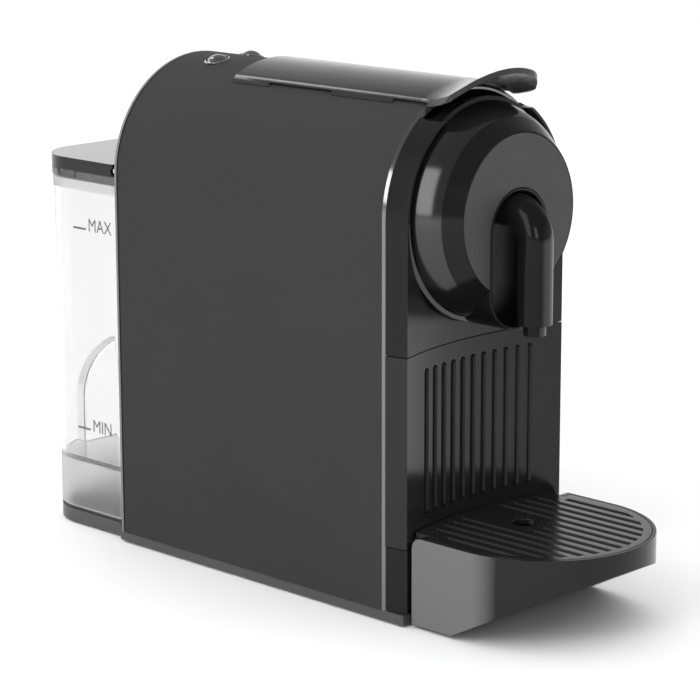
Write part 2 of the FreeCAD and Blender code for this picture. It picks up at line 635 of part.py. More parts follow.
piston_turned = turned("piston_turned", "Y", [
    (cage_rear, d.piston_bore), (cage_rear, d.piston_radius), (piston_rear, d.piston_radius),
    (piston_rear, d.piston_bore)], (0, brew_z))
pin_spans = [(side, (d.cam_pin_root, d.cam_pin_tip) if side > 0 else (-d.cam_pin_tip, -d.cam_pin_root))
             for side in (-1, 1)]
node("piston", cut("piston", piston_turned,
                   *[rod("pin_hole%d" % side, "X", d.cam_pin_radius, (pin_y, brew_z), span)
                     for side, span in pin_spans]))
node("piston_pins", group("piston_pins", [rod("stub_pin%d" % side, "X", d.cam_pin_radius,
                                              (pin_y, brew_z), span) for side, span in pin_spans]))

# Lever cover: arched cap with side flanges, and the upturned lip at the front
cover_radius = half + d.cover_rise
crown_z = arch_z + cover_radius
crease_z = arch_z + root(cover_radius * cover_radius - d.cover_half * d.cover_half)


def over_shell(x):
    """Height just clear of the casing at a distance from the middle."""
    return arch_z + root((half + d.run_gap) * (half + d.run_gap) - x * x)


flange_z = over_shell(d.flange_half)
tuck_z = over_shell(d.flange_half - d.cover_wall)


def arc_radius(span, rise):
    """Radius of an arc over a half chord and a rise."""
    return (span * span + rise * rise) / (2 * rise)


def cap_section(crown, crease, low, tuck_low, wall):
    """Arched top with a flange down each side: crown height, crease (x, z), flange foot (x, z) and wall."""
    tuck = crease[0] - wall / 2
    under = crease[1] - wall
    return [(-low[0], low[1]), (-low[0] + wall, tuck_low), (-tuck, under),
            (tuck, under, -arc_radius(tuck, crown - wall - under)), (low[0] - wall, tuck_low),
            (low[0], low[1]), (crease[0], crease[1]),
            (-crease[0], crease[1], arc_radius(crease[0], crown - crease[1]))]


cap_rear = front + d.lever_rear
cap_front = front + d.lever_bend
cap_path = cap_section(crown_z, (d.cover_half, crease_z), (d.flange_half, flange_z), tuck_z, d.cover_wall)
cap = prism("cap", "XZ", cap_path, cap_front, cap_rear)
lip_tip = front - d.lip_reach
lip_length = cap_front - lip_tip


def lip_section(share):
    """The lip's section part of the way from the bend to the tip: it rises, flattens and thins."""
    lift = d.lip_rise * share * share
    level = d.lip_level * share * share
    wide = d.flange_half + (d.lip_half - d.flange_half) * share
    crease = (d.cover_half + (wide - d.lip_edge - d.cover_half) * share, crease_z + lift + level)
    foot_drop = (crease_z - flange_z) * (1 - share) + d.lip_thickness * share
    foot_z = crease[1] - foot_drop
    wall = d.cover_wall + (d.lip_wall - d.cover_wall) * share
    foot_inner = foot_z + (tuck_z - flange_z) * (1 - share)
    return cap_section(crown_z + lift, crease, (wide, foot_z), foot_inner, wall)


lip_shares = (0, 0.35, 0.7, 1)
lip = lofted("lip", [(cap_front - lip_length * share, lip_section(share)) for share in lip_shares], False)
side_y = front - d.lip_side
corner_x = d.lip_half - d.lip_corner
nose = d.lip_reach - d.lip_side
nose_radius = (corner_x * corner_x + nose * nose - d.lip_corner * d.lip_corner) / (2 * (nose - d.lip_corner))
nose_share = nose_radius / (nose_radius - d.lip_corner)
turn_x = corner_x * nose_share
turn_y = side_y + (nose_radius - nose) * (1 - nose_share)
plan = prism("lever_plan", "XY", [(d.lip_half, cap_rear), (-d.lip_half, cap_rear),
                                  (-d.lip_half, side_y), (-turn_x, turn_y, d.lip_corner),
                                  (turn_x, turn_y, nose_radius), (d.lip_half, side_y, d.lip_corner)],
             arch_z, d.body_height + cover_radius)
reliefs = [box(name, (-d.lip_half, d.lip_half), rows, (flange_z - over, flange_z + d.relief_height))
           for name, rows in (("relief_nose", (front, front + d.relief_nose)),
                              ("relief_side", (front + d.relief_front, front + d.relief_rear)))]
node("lever_cover", cut("lever_cover", common("lever_outline", fuse("lever_moulding", cap, lip), plan),
                        *reliefs))

# Lever arms: plates with the cam slot that drives the piston
lever_turn = math.radians(float(d.lever_angle))
pin_out = float(pivot_y - pin_y)
pin_drop = float(brew_z - pivot_z)


def cam_point(share, offset=0.0):
    """The pin's place in the turning lever, forward and up from the pivot, moved sideways by an offset."""
    def place_at(part):
        turn = lever_turn * part
        out = pin_out - float(d.piston_travel) * part
        return (out * math.cos(turn) + pin_drop * math.sin(turn),
                pin_drop * math.cos(turn) - out * math.sin(turn))

    step = 1e-4
    here, ahead, behind = place_at(share), place_at(share + step), place_at(share - step)
    way = (ahead[0] - behind[0], ahead[1] - behind[1])
    length = math.hypot(*way)
    return V(0, float(pivot_y) - (here[0] - way[1] / length * offset),
             float(pivot_z) + here[1] + way[0] / length * offset)


def cam_band(offset):
    """The flat outline of everything within an offset of the pin's path, in two arcs a side."""
    edges = [Part.Arc(*[cam_point(share, sign * offset) for share in shares]).toShape()
             for sign in (1, -1) for shares in ((0, 0.25, 0.5), (0.5, 0.75, 1))]
    for share, ahead in ((1, -1), (0, 1)):
        middle = cam_point(share)
        edge = cam_point(share, offset)
        spoke = edge - middle
        beyond = middle + V(0, spoke.z, -spoke.y) * ahead
        edges.append(Part.Arc(edge, beyond, cam_point(share, -offset)).toShape())
    return Part.Face(Part.Wire(Part.__sortEdges__(edges)))


def polygon(corners):
    return Part.Face(Part.makePolygon(corners + corners[:1]))


def ring(radius):
    return Part.Face(Part.Wire(Part.makeCircle(float(radius), pivot, V(1, 0, 0))))


pivot = V(0, float(pivot_y), float(pivot_z))
slot_offset = float(d.cam_pin_radius + d.run_gap)
last = cam_point(1)
lean = V(0, last.z - pivot.z, pivot.y - last.y).normalize() * float(d.neck_width / 2)
shank_rows = [pivot.y - float(d.arm_top_rear), pivot.y - float(d.arm_top_front)]
shank_low, shank_high = float(brew_z), float(crown_z)
shank = [V(0, shank_rows[0], shank_low), V(0, shank_rows[1], shank_low), V(0, shank_rows[1], shank_high),
         V(0, shank_rows[0], shank_high)]
arm_faces = [cam_band(slot_offset + float(d.cam_margin)), ring(d.hub_radius), polygon(shank),
             polygon([pivot + lean, last + lean, last - lean, pivot - lean])]
arm_holes = [cam_band(slot_offset), ring(d.pivot_radius + d.pin_gap)]
under_crown = float(crown_z - d.cover_wall - d.pin_gap)
under_radius = float(arc_radius(d.cover_half - d.cover_wall / 2, crown_z - crease_z) - d.pin_gap)
under_cover = Part.makeCylinder(under_radius, float(d.shell_length),
                                V(0, float(front), under_crown - under_radius), V(0, 1, 0))
for side, word in ((-1, "left"), (1, "right")):
    sheet = V(float(d.arm_sheet), 0, 0)
    near = V(side * float(d.arm_half), 0, 0) - sheet / 2
    solids = [face.translated(near).extrude(sheet) for face in arm_faces]
    holes = [face.translated(near).extrude(sheet) for face in arm_holes]
    arm = doc.addObject("Part::Feature", "lever_arm_" + word)
    arm.Shape = solids[0].fuse(solids[1:]).removeSplitter().cut(holes).common(under_cover)
    node("lever_arm_" + word, arm)

# Buttons with bezels, control board and switches
skirt_low = d.body_height - d.button_skirt
stem_reach = half - d.stem_drop
button_path = [(0.0, arch_z + stem_reach), (d.stem_radius, arch_z + stem_reach), (d.stem_radius, skirt_low),
               (d.button_radius, skirt_low), (d.button_radius, d.body_height),
               (0.0, d.body_height + d.button_dome,
                (d.button_radius * d.button_radius + d.button_dome * d.button_dome) / (2 * d.button_dome))]
button_model = turned("button_model", "Z", button_path, (0, button_y))
bezel_in = d.button_radius + d.run_gap
bezel_out = bezel_in + d.bezel_wall
bezel_model = turned("bezel_model", "Z", [
    (bezel_in, d.body_height - d.shell_wall), (bezel_out, d.body_height - d.shell_wall),
    (bezel_out, d.body_height + d.pin_gap), (bezel_out + d.bezel_flange, d.body_height + d.pin_gap),
    (bezel_in, d.body_height + d.bezel_height)], (0, button_y))
for side, word in ((-1, "left"), (1, "right")):
    node("button_" + word, leaned("button_" + word, button_model, side))
bezels = [leaned("bezel%d" % side, bezel_model, side) for side in (-1, 1)]
node("button_bezels", group("button_bezels", bezels))
board_z = bar_high + d.board_thickness
node("control_board", box("board", (-d.board_half, d.board_half),
                          (front + d.board_front, front + d.board_front + d.board_length),
                          (bar_high, board_z)))
stem_x = d.button_side * stem_reach / half
switch_top = arch_z + stem_reach - d.button_travel - d.switch_gap
node("button_switches", group("button_switches", [
    box("switch%d" % side, (side * stem_x - d.switch_side / 2, side * stem_x + d.switch_side / 2),
        (button_y - d.switch_side / 2, button_y + d.switch_side / 2), (board_z, switch_top))
    for side in (-1, 1)]))

# Water tank, lid, valve and coupling
tank_low = pad_high + d.run_gap
cavity_low = d.tank_floor + d.floor_thickness
flange_low = d.tank_height - d.flange_height
collar_low = flange_low - d.collar_height
lid_pin_half = tank_half - d.lid_pin_inset
wall_block = prism("tank_block", "XY", tank_outline(0), tank_low, flange_low)
collar = prism("tank_collar", "XY", tank_outline(d.collar_step), collar_low, flange_low)
flange = prism("tank_flange", "XY", tank_outline(d.flange_step), flange_low, d.tank_height)
cavity = prism("tank_cavity", "XY", tank_outline(-d.tank_wall), cavity_low, d.tank_height + over)
skirt = prism("tank_skirt", "XY", tank_outline(-d.tank_wall), tank_low - over, d.tank_floor)


def grip(name, grow, deep):
    """The arched finger recess on the tank's back wall, or the wall round it."""
    return prism(name, "XZ", arch(d.grip_half + grow, tank_low - over, d.grip_top - d.grip_half),
                 tank_rear - deep, tank_rear + 2 * over)


valve_y = tank_front + d.valve_back
lid_pin_y = tank_front + d.knuckle_radius
lid_pin_z = d.tank_height + 2 * d.run_gap + d.knuckle_radius
hollow = cut("tank_hollow", cavity, grip("grip_wall", d.tank_wall, d.grip_depth + d.tank_wall))
skirt_hollow = cut("skirt_hollow", skirt, grip("grip_skirt", d.tank_wall, d.grip_depth + d.tank_wall))
ears = []
for side in (-1, 1):
    ear_span = (side * lid_pin_half - d.ear_width / 2, side * lid_pin_half + d.ear_width / 2)
    ears += [box("ear%d" % side, ear_span, (tank_front, lid_pin_y + d.knuckle_radius),
                 (flange_low, lid_pin_z)),
             rod("ear_round%d" % side, "X", d.knuckle_radius, (lid_pin_y, lid_pin_z), ear_span)]
ear_half = lid_pin_half + d.ear_width / 2
thumb_face = tank_half + d.flange_step - d.thumb_depth
thumb_rows = (front + d.thumb_back, front + d.thumb_back + d.thumb_length)
thumb_notches = [box("thumb_right", (thumb_face, half), thumb_rows, (flange_low, d.tank_height + over)),
                 box("thumb_left", (-half, -thumb_face), thumb_rows, (flange_low, d.tank_height + over))]
node("tank", cut("tank", fuse("tank_moulding", wall_block, collar, flange, *ears), hollow, skirt_hollow,
                 grip("grip_recess", 0, d.grip_depth), *thumb_notches,
                 box("hose_notch", (-2 * d.hose_radius, 2 * d.hose_radius),
                     (tank_front - over, tank_front + d.tank_wall + over),
                     (tank_low - over, hose_z + 2 * d.hose_radius)),
                 rod("valve_hole", "Z", d.valve_radius + d.pin_gap, (0, valve_y),
                     (d.tank_floor - over, cavity_low + over)),
                 rod("ear_eyes", "X", d.lid_pin_radius + d.pin_gap, (lid_pin_y, lid_pin_z),
                     (-ear_half - over, ear_half + over))))
node("lid_pin", rod("lid_pin_rod", "X", d.lid_pin_radius, (lid_pin_y, lid_pin_z), (-ear_half, ear_half)))
lid_low = d.tank_height + d.run_gap
lid_top = lid_low + d.lid_height
lid_block = prism("lid_block", "XY", tank_outline(d.flange_step), lid_low, lid_top)
lid_hollow = prism("lid_hollow", "XY", tank_outline(d.flange_step - d.lid_wall), lid_low - over,
                   lid_top - d.lid_wall)
lid_front = box("lid_front", (-d.body_width, d.body_width), (tank_front - d.tank_edge, lid_pin_y),
                (lid_low - over, lid_top + over))
knuckle_half = lid_pin_half - d.ear_width / 2 - d.run_gap
knuckle = rod("knuckle", "X", d.knuckle_radius, (lid_pin_y, lid_pin_z), (-knuckle_half, knuckle_half))
web = box("knuckle_web", (-knuckle_half, knuckle_half), (lid_pin_y, lid_pin_y + d.lid_wall),
          (lid_pin_z, lid_top))
ear_room = [box("ear_room%d" % side, (side * lid_pin_half - d.ear_width / 2 - d.run_gap,
                                      side * lid_pin_half + d.ear_width / 2 + d.run_gap),
                (tank_front - d.tank_edge, lid_pin_y + d.lid_wall + d.knuckle_radius),
                (lid_low - over, lid_top - d.lid_wall / 2)) for side in (-1, 1)]
node("tank_lid", cut("tank_lid", fuse("lid_moulding", cut("lid_shell", lid_block, lid_hollow, lid_front),
                                      knuckle, web),
                     rod("knuckle_eye", "X", d.lid_pin_radius + d.pin_gap, (lid_pin_y, lid_pin_z),
                         (-d.body_width, d.body_width)), *ear_room))
node("tank_valve", turned("valve", "Z", [
    (d.valve_bore, d.valve_low), (d.valve_radius, d.valve_low), (d.valve_radius, cavity_low),
    (d.valve_flange, cavity_low), (d.valve_flange, cavity_low + d.floor_thickness),
    (0.0, cavity_low + d.floor_thickness), (0.0, cavity_low), (d.valve_bore, cavity_low)], (0, valve_y)))
node("tank_coupling", turned("coupling", "Z", [
    (d.pipe_radius, pad_high), (d.coupling_radius, pad_high), (d.coupling_radius, d.coupling_high),
    (d.coupling_bore, d.coupling_high), (d.coupling_bore, d.coupling_step),
    (d.coupling_neck, d.coupling_step), (d.coupling_neck, d.valve_low - over),
    (d.pipe_radius, d.valve_low - over)], (0, valve_y)))
ring_in = d.coupling_bore - 2 * d.ring_radius
node("coupling_seal", turned("coupling_ring", "Z", [
    (ring_in, d.coupling_step), (d.coupling_bore, d.coupling_step),
    (d.coupling_bore, d.coupling_step + 2 * d.ring_radius), (ring_in, d.coupling_step + 2 * d.ring_radius)],
    (0, valve_y)))

# Drawer: capsule container with grooved front, drip tray, lift-off grid, runners
bin_half = half - d.bin_inset
bin_high = seam_z - d.bin_clear
lower_block = front_block("lower_block", d.sill_height + d.run_gap, seam_z)
bin_outer = box("bin_outer", (-bin_half, bin_half), (front - d.hollow_wall, front + d.bin_length),
                (d.bin_low, bin_high))
bin_inner = box("bin_inner", (-(bin_half - d.bin_wall), bin_half - d.bin_wall),
                (front, front + d.bin_length - d.bin_wall), (d.bin_low + d.bin_wall, bin_high + over))
groove_half = d.groove_width / 2
groove_model = prism("groove_model", "XZ", stadium(groove_half, d.groove_low, (seam_z - d.groove_clear)),
                     band_front - over, front)
grooves = []
for count in range(SIZES["groove_count"]):
    groove = doc.addObject("Part::Feature", "groove%d" % count)
    doc.recompute()
    groove.Shape = groove_model.Shape.copy()
    bind(groove, "Placement.Base.x", (count - (SIZES["groove_count"] - 1) / 2) * d.groove_pitch)
    grooves.append(groove)
groove_cut = common("grooves", group("groove_row", grooves),
                    front_scoop("groove_floor", d.hollow_radius + d.groove_depth, d.bin_low, seam_z))
node("capsule_container", cut("capsule_container", fuse("container_moulding", lower_block, bin_outer),
                              front_scoop("lower_scoop", d.hollow_radius, d.bin_low - over, seam_top),
                              bin_inner, groove_cut))

tray_tip = front - d.tray_reach
tray_half = half - d.tray_inset
round_y = tray_tip + tray_half
tray_back = band_front - d.tray_gap


def tray_plan(name, shrink, back, low, high):
    """The tray's D-shaped plan, drawn in by a margin, between two heights."""
    w = tray_half - shrink
    return prism(name, "XY", [(w, back), (-w, back), (-w, round_y), (w, round_y, w)], low, high)


tray_side = prism("tray_side", "YZ", [
    (tray_back, d.tray_low), (tray_back, d.tray_top - d.tray_corner),
    (tray_back - d.tray_corner, d.tray_top, d.tray_corner), (tray_tip, d.tray_top),
    (tray_tip, d.tray_top - d.tray_rim), (front - d.tray_foot, d.tray_low)], -tray_half, tray_half)
bowl_low = d.tray_low + d.tray_wall
grid_back = front - d.grid_rear
bowl_side = prism("bowl_side", "YZ", [
    (grid_back, bowl_low), (grid_back, d.tray_top + over),
    (tray_tip, d.tray_top + over), (tray_tip, d.tray_top - d.tray_rim + d.tray_wall),
    (front - d.tray_foot, bowl_low)], -tray_half, tray_half)
ledge_z = d.tray_top - d.grid_thickness - d.seat_gap
bowl = common("bowl", bowl_side, tray_plan("bowl_plan", d.tray_wall + d.tray_ledge, front, d.tray_low,
                                           ledge_z + over))
deck_half = bin_half - d.deck_inset
grid_seat = tray_plan("grid_seat", d.tray_ledge, grid_back, ledge_z, d.tray_top + over)
deck_seat = box("deck_seat", (-deck_half, deck_half), (grid_back - over, front), (ledge_z, d.tray_top + over))
tray_block = common("tray_block", tray_side, tray_plan("tray_outline", 0, tray_back, d.tray_low, d.tray_top))
tongue_half = bin_half - d.tongue_inset
deck = common("deck", box("deck_slab", (-deck_half, deck_half), (grid_back, front),
                          (ledge_z - d.tray_wall, ledge_z)),
              front_scoop("deck_edge", d.hollow_radius - d.run_gap, d.tray_low, d.tray_top + over))
tongue = box("tongue", (-tongue_half, tongue_half), (tray_back - d.tray_wall, front + d.tongue_length),
             (d.bin_low - d.tongue_thickness, d.bin_low))
tray_shell = cut("tray_shell", tray_block, bowl, grid_seat, deck_seat)
node("drip_tray", fuse("drip_tray", tray_shell, deck, tongue))


def grid_region(name, margin, low, high):
    """The grid's plan, drawn in by a margin: the tray's D run back to the container's hollow front."""
    shrink = margin + d.run_gap
    back_half = deck_half - shrink
    plan_back = grid_back - shrink
    return common(name, fuse(name + "_plan",
                             tray_plan(name + "_round", d.tray_ledge + shrink, plan_back, low, high),
                             box(name + "_back", (-back_half, back_half), (plan_back - over, front),
                                 (low, high))),
                  front_scoop(name + "_edge", d.hollow_radius - d.run_gap - shrink, low, high))


grid_plate = grid_region("grid_plate", 0, d.tray_top - d.grid_thickness, d.tray_top)
slot_area = grid_region("slot_area", d.grid_margin, ledge_z, d.tray_top + over)
finger_y = front - d.finger_back
middle = (SIZES["slot_count"] - 1) // 2
slots = []
for count in range(-middle, middle + 1):
    x = count * d.slot_pitch
    near = front
    if abs(count) < 2:
        near = finger_y - d.finger_radius - d.grid_margin
    elif abs(count) == middle:
        near = grid_back - d.grid_margin
    slots.append(box("slot%d" % (count + middle), (x - d.slot_width / 2, x + d.slot_width / 2),
                     (tray_tip, near), (ledge_z, d.tray_top + over)))
node("drip_grid", cut("drip_grid", grid_plate, common("grid_slots", group("slot_row", slots), slot_area),
                      rod("finger_hole", "Z", d.finger_radius, (0, finger_y), (ledge_z, d.tray_top + over))))
runner_high = d.bin_low - d.tongue_thickness - d.run_gap
runners = []
for side in (-1, 1):
    far, near = bin_half - d.runner_inset, bin_half - d.runner_inset - d.runner_width
    runners.append(box("runner%d" % side, (near, far) if side > 0 else (-far, -near),
                       (front + over, wall_front), (base_top, runner_high)))
node("drawer_runners", group("drawer_runners", runners))

# Pump bay: pump, heater, flow meter and hoses
pump_side = inner - d.bay_gap - d.boot_wall - d.pin_gap - d.pump_radius
heater_far = inner - d.heater_inset
pump_at = (-pump_side, front + d.pump_back)
boot_floor = base_top + d.boot_wall
node("pump", turned("pump_body", "Z", [
    (0.0, boot_floor), (d.pump_radius, boot_floor), (d.pump_radius, d.pump_high - d.pump_neck),
    (d.pump_neck, d.pump_high - d.pump_neck), (d.pump_neck, d.pump_high), (0.0, d.pump_high)], pump_at))
boot_in = d.pump_radius + d.pin_gap
node("pump_boot", turned("boot", "Z", [
    (0.0, base_top), (boot_in + d.boot_wall, base_top), (boot_in + d.boot_wall, d.boot_high),
    (boot_in, d.boot_high), (boot_in, boot_floor), (0.0, boot_floor)], pump_at))
strap_high = d.strap_low + d.strap_height
strap_out = boot_in + d.strap_wall
strap_foot = box("strap_foot", (-pump_side - d.strap_height, -pump_side + d.strap_height),
                 (wall_front + d.panel_thickness, pump_at[1]), (d.strap_low, strap_high))
strap_ring = rod("strap_ring", "Z", strap_out, pump_at, (d.strap_low, strap_high))
node("pump_strap", cut("pump_strap", fuse("strap", strap_foot, strap_ring),
                       rod("strap_hole", "Z", boot_in, pump_at, (d.strap_low - over, strap_high + over))))
heater_y = (front + d.heater_front, front + d.heater_rear)
heater_core = box("heater_core", (d.heater_near, heater_far), heater_y, (d.heater_low, d.heater_high))
fin_pitch = 2 * d.heater_fin
fins = [box("fin_gap%d" % i, (d.heater_near + i * fin_pitch - d.heater_fin, d.heater_near + i * fin_pitch),
            (heater_y[0] - over, heater_y[0] + d.heater_fin),
            (d.heater_low + d.heater_fin, d.heater_high - d.heater_fin)) for i in range(1, 5)]
node("heater_block", cut("heater_block", heater_core, *fins))
node("heater_stand", group("heater_stand", [
    box("leg%d%d" % (i, j), (x, x + d.heater_leg), (y, y + d.heater_leg), (base_top, d.heater_low))
    for i, x in enumerate((d.heater_near, heater_far - d.heater_leg))
    for j, y in enumerate((heater_y[0], heater_y[1] - d.heater_leg))]))
thermo_y = (heater_y[0] + heater_y[1]) / 2
thermo_span = (d.heater_near - d.thermostat_height, d.heater_near)
thermo_rows = (d.heater_low + 3 * d.thermostat_radius, d.heater_high - 3 * d.thermostat_radius)
node("thermostats", group("thermostats", [
    rod("thermostat%d" % i, "X", d.thermostat_radius, (thermo_y, z), thermo_span)
    for i, z in enumerate(thermo_rows)]))
node("flow_meter", rod("meter", "Z", d.meter_radius, (0, pump_at[1]), (base_top, d.meter_high)))
outlet_x = (d.heater_near + heater_far) / 2
outlet_y = pipe_span[1] + d.hose_radius
port_z = d.pump_high - d.pump_neck / 2
hoses = {
    "hose_tank": [(0, valve_y - d.coupling_radius, hose_z), (0, pump_at[1] + d.meter_radius, hose_z)],
    "hose_meter": [(-d.meter_radius, pump_at[1], d.meter_port),
                   (-pump_side + d.pump_radius, pump_at[1], d.meter_port)],
    "hose_pump": [(-pump_side + d.pump_neck, pump_at[1], port_z), (d.heater_near, pump_at[1], port_z)],
    "hose_brew": [(outlet_x, outlet_y, d.heater_high), (outlet_x, outlet_y, brew_z),
                  (-d.hose_radius, outlet_y, brew_z)],
}
for name, route in hoses.items():
    node(name, tube(name, route, d.hose_radius, d.hose_bend))

# Check every object and write each piece
doc.recompute()
faults = [obj.Label for obj in doc.Objects if "Invalid" in obj.State or "Error" in obj.State]
faults += [name for name, obj in nodes.items() if obj.Shape.isNull() or not obj.Shape.isValid()
           or not obj.Shape.Solids]
if faults:
    raise RuntimeError("not built: " + ", ".join(faults))
os.makedirs("parts", exist_ok=True)
for name, obj in nodes.items():
    obj.Shape.exportStep(os.path.join("parts", name + ".step"))
print(len(nodes), "pieces written")
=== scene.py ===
import math

import bmesh
import bpy
from mathutils import Matrix, Vector


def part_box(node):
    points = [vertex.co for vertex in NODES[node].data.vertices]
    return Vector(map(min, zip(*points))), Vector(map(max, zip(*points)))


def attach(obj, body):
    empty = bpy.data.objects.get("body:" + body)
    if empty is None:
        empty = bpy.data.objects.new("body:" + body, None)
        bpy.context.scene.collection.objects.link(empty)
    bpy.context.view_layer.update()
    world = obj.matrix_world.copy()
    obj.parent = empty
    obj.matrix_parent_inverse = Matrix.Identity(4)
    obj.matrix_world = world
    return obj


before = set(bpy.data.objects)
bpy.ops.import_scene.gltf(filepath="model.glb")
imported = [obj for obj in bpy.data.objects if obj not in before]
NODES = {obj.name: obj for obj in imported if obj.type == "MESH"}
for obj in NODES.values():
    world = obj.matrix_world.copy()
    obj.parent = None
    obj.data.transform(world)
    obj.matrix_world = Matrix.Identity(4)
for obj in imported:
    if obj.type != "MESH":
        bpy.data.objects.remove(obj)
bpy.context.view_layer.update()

bl_info = {
    "name": "Pod coffee machine finishes",
    "version": (1, 0, 0),
    "blender": (4, 5, 0),
    "location": "3D View > Sidebar > Coffee machine",
    "description": "Finishes, soft edges, marks and a studio for the packed coffee machine",
    "category": "Object",
}

MM = 0.001
SHELL_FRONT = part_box("arch_shell")[0].y

# How much finer a metal's lines are along X, Y and Z
LINES_ACROSS_Z = (1.0, 1.0, 12.0)
LINES_ACROSS_Y = (1.0, 12.0, 1.0)
NO_LINES = (1.0, 1.0, 1.0)

# Where nearly all the values of a noise lie
NOISE_LOW, NOISE_HIGH = 0.3, 0.7

# Faces that meet at less than the first are one face, and edges sharper than the second are rounded
FLAT_ANGLE = math.radians(0.2)
SHARP_ANGLE = math.radians(30.0)


# Shader building

def tree_of(material):
    """A material's nodes, its links and its principled shader."""
    nodes = material.node_tree.nodes
    return nodes, material.node_tree.links, nodes["Principled BSDF"]


def new_finish(name):
    """A new material, its nodes, its links and its principled shader."""
    material = bpy.data.materials.new(name)
    material.use_nodes = True
    return material, *tree_of(material)


def set_sockets(shader, **values):
    """Sets a shader's sockets by name, with _ for a space."""
    for key, value in values.items():
        shader.inputs[key.replace("_", " ")].default_value = value


def cloud(nodes, links, size, detail, stretch=NO_LINES):
    """A noise over the part's own frame whose features are about size metres across."""
    place = nodes.new("ShaderNodeTexCoord")
    mapping = nodes.new("ShaderNodeMapping")
    mapping.inputs["Scale"].default_value = stretch
    noise = nodes.new("ShaderNodeTexNoise")
    noise.inputs["Scale"].default_value = 1.0 / size
    noise.inputs["Detail"].default_value = detail
    links.new(place.outputs["Object"], mapping.inputs["Vector"])
    links.new(mapping.outputs["Vector"], noise.inputs["Vector"])
    return noise.outputs["Fac"]


def spread(nodes, links, source, low, high, start=NOISE_LOW, end=NOISE_HIGH):
    """Maps a value that runs from start to end onto the range low to high."""
    remap = nodes.new("ShaderNodeMapRange")
    for key, value in (("From Min", start), ("From Max", end), ("To Min", low), ("To Max", high)):
        remap.inputs[key].default_value = value
    links.new(source, remap.inputs["Value"])
    return remap.outputs["Result"]


def tones(nodes, links, source, colour, drift):
    """Colour that drifts by a share of itself along a noise."""
    ramp = nodes.new("ShaderNodeValToRGB")
    ends = ((NOISE_LOW, 1.0 - drift), (NOISE_HIGH, 1.0 + drift))
    for element, (place, share) in zip(ramp.color_ramp.elements, ends):
        element.position = place
        element.color = (*[channel * share for channel in colour[:3]], 1.0)
    links.new(source, ramp.inputs["Fac"])
    return ramp.outputs["Color"]


def grey_steps(nodes, links, source, stops, interpolation):
    """Grey levels along a value from 0 to 1, each as (start, level)."""
    ramp = nodes.new("ShaderNodeValToRGB")
    ramp.color_ramp.interpolation = interpolation
    elements = ramp.color_ramp.elements
    elements.remove(elements[1])
    for count, (start, level) in enumerate(stops):
        element = elements.new(start) if count else elements[0]
        element.color = (level, level, level, 1.0)
    links.new(source, ramp.inputs["Fac"])
    return ramp.outputs["Color"]


def relief(nodes, links, source, strength, depth):
    """A bump from a noise, depth in metres."""
    bump = nodes.new("ShaderNodeBump")
    bump.inputs["Strength"].default_value = strength
    bump.inputs["Distance"].default_value = depth
    links.new(source, bump.inputs["Height"])
    return bump.outputs["Normal"]


def split_axes(nodes, links, source):
    """The X, Y and Z of a vector."""
    split = nodes.new("ShaderNodeSeparateXYZ")
    links.new(source, split.inputs["Vector"])
    return split.outputs


def place_on(nodes, links):
    """The X, Y and Z of a point on the part, in metres."""
    return split_axes(nodes, links, nodes.new("ShaderNodeTexCoord").outputs["Object"])


def facing_of(nodes, links):
    """The X, Y and Z of the way that a surface faces."""
    return split_axes(nodes, links, nodes.new("ShaderNodeNewGeometry").outputs["Normal"])


def calculate(nodes, links, operation, *values):
    """One step of arithmetic on values, each a number or an output of another node."""
    step = nodes.new("ShaderNodeMath")
    step.operation = operation
    for socket, value in zip(step.inputs, values):
        if isinstance(value, bpy.types.NodeSocket):
            links.new(value, socket)
        else:
            socket.default_value = value
    return step.outputs["Value"]


def turned_along(nodes, links, axis):
    """How far a surface faces along one axis of the frame, either way, from 0 to 1."""
    return calculate(nodes, links, "ABSOLUTE", facing_of(nodes, links)[axis])


def within(nodes, links, source, centre, half):
    """1 where a value lies within half of a centre, 0 elsewhere."""
    return calculate(nodes, links, "COMPARE", source, centre, half)


def both(nodes, links, first, second):
    """The product of two masks."""
    return calculate(nodes, links, "MULTIPLY", first, second)


def mixed(nodes, links, mask, plain, colour):
    """One colour where a mask is 0 and another, even one where it is 1."""
    mix = nodes.new("ShaderNodeMix")
    mix.data_type = "RGBA"
    mix.inputs["B"].default_value = (*colour, 1.0)
    links.new(mask, mix.inputs["Factor"])
    links.new(plain, mix.inputs["A"])
    return mix.outputs["Result"]


# Finishes

def moulded(name, colour, gloss, grain=0.6 * MM, depth=0.02 * MM, drift=0.06, **sockets):
    """Moulded plastic: a slow drift of tone, gloss that varies a little, and the grain of the tool."""
    material, nodes, links, shader = new_finish(name)
    set_sockets(shader, **sockets)
    slow = cloud(nodes, links, 50.0 * MM, detail=2.0)
    handled = cloud(nodes, links, 12.0 * MM, detail=4.0)
    fine = cloud(nodes, links, grain, detail=2.0)
    smear = 0.08 * gloss
    links.new(tones(nodes, links, slow, colour, drift), shader.inputs["Base Color"])
    links.new(spread(nodes, links, handled, gloss - smear, gloss + smear), shader.inputs["Roughness"])
    links.new(relief(nodes, links, fine, strength=0.35, depth=depth), shader.inputs["Normal"])
    return material


def brushed(name, colour, gloss, lines=LINES_ACROSS_Z, drift=0.1):
    """Drawn, turned or cast metal, with fine lines one way or none."""
    material, nodes, links, shader = new_finish(name)
    set_sockets(shader, Metallic=1.0)
    strokes = cloud(nodes, links, 3.0 * MM, detail=4.0, stretch=lines)
    links.new(tones(nodes, links, strokes, colour, drift), shader.inputs["Base Color"])
    links.new(spread(nodes, links, strokes, low=gloss * 0.75, high=gloss * 1.3), shader.inputs["Roughness"])
    links.new(relief(nodes, links, strokes, strength=0.2, depth=0.01 * MM), shader.inputs["Normal"])
    return material


def lay_over(material, colour, mask):
    """Lays another colour over a finish where a mask is 1."""
    nodes, links, shader = tree_of(material)
    socket = shader.inputs["Base Color"]
    links.new(mixed(nodes, links, mask, socket.links[0].from_socket, colour), socket)


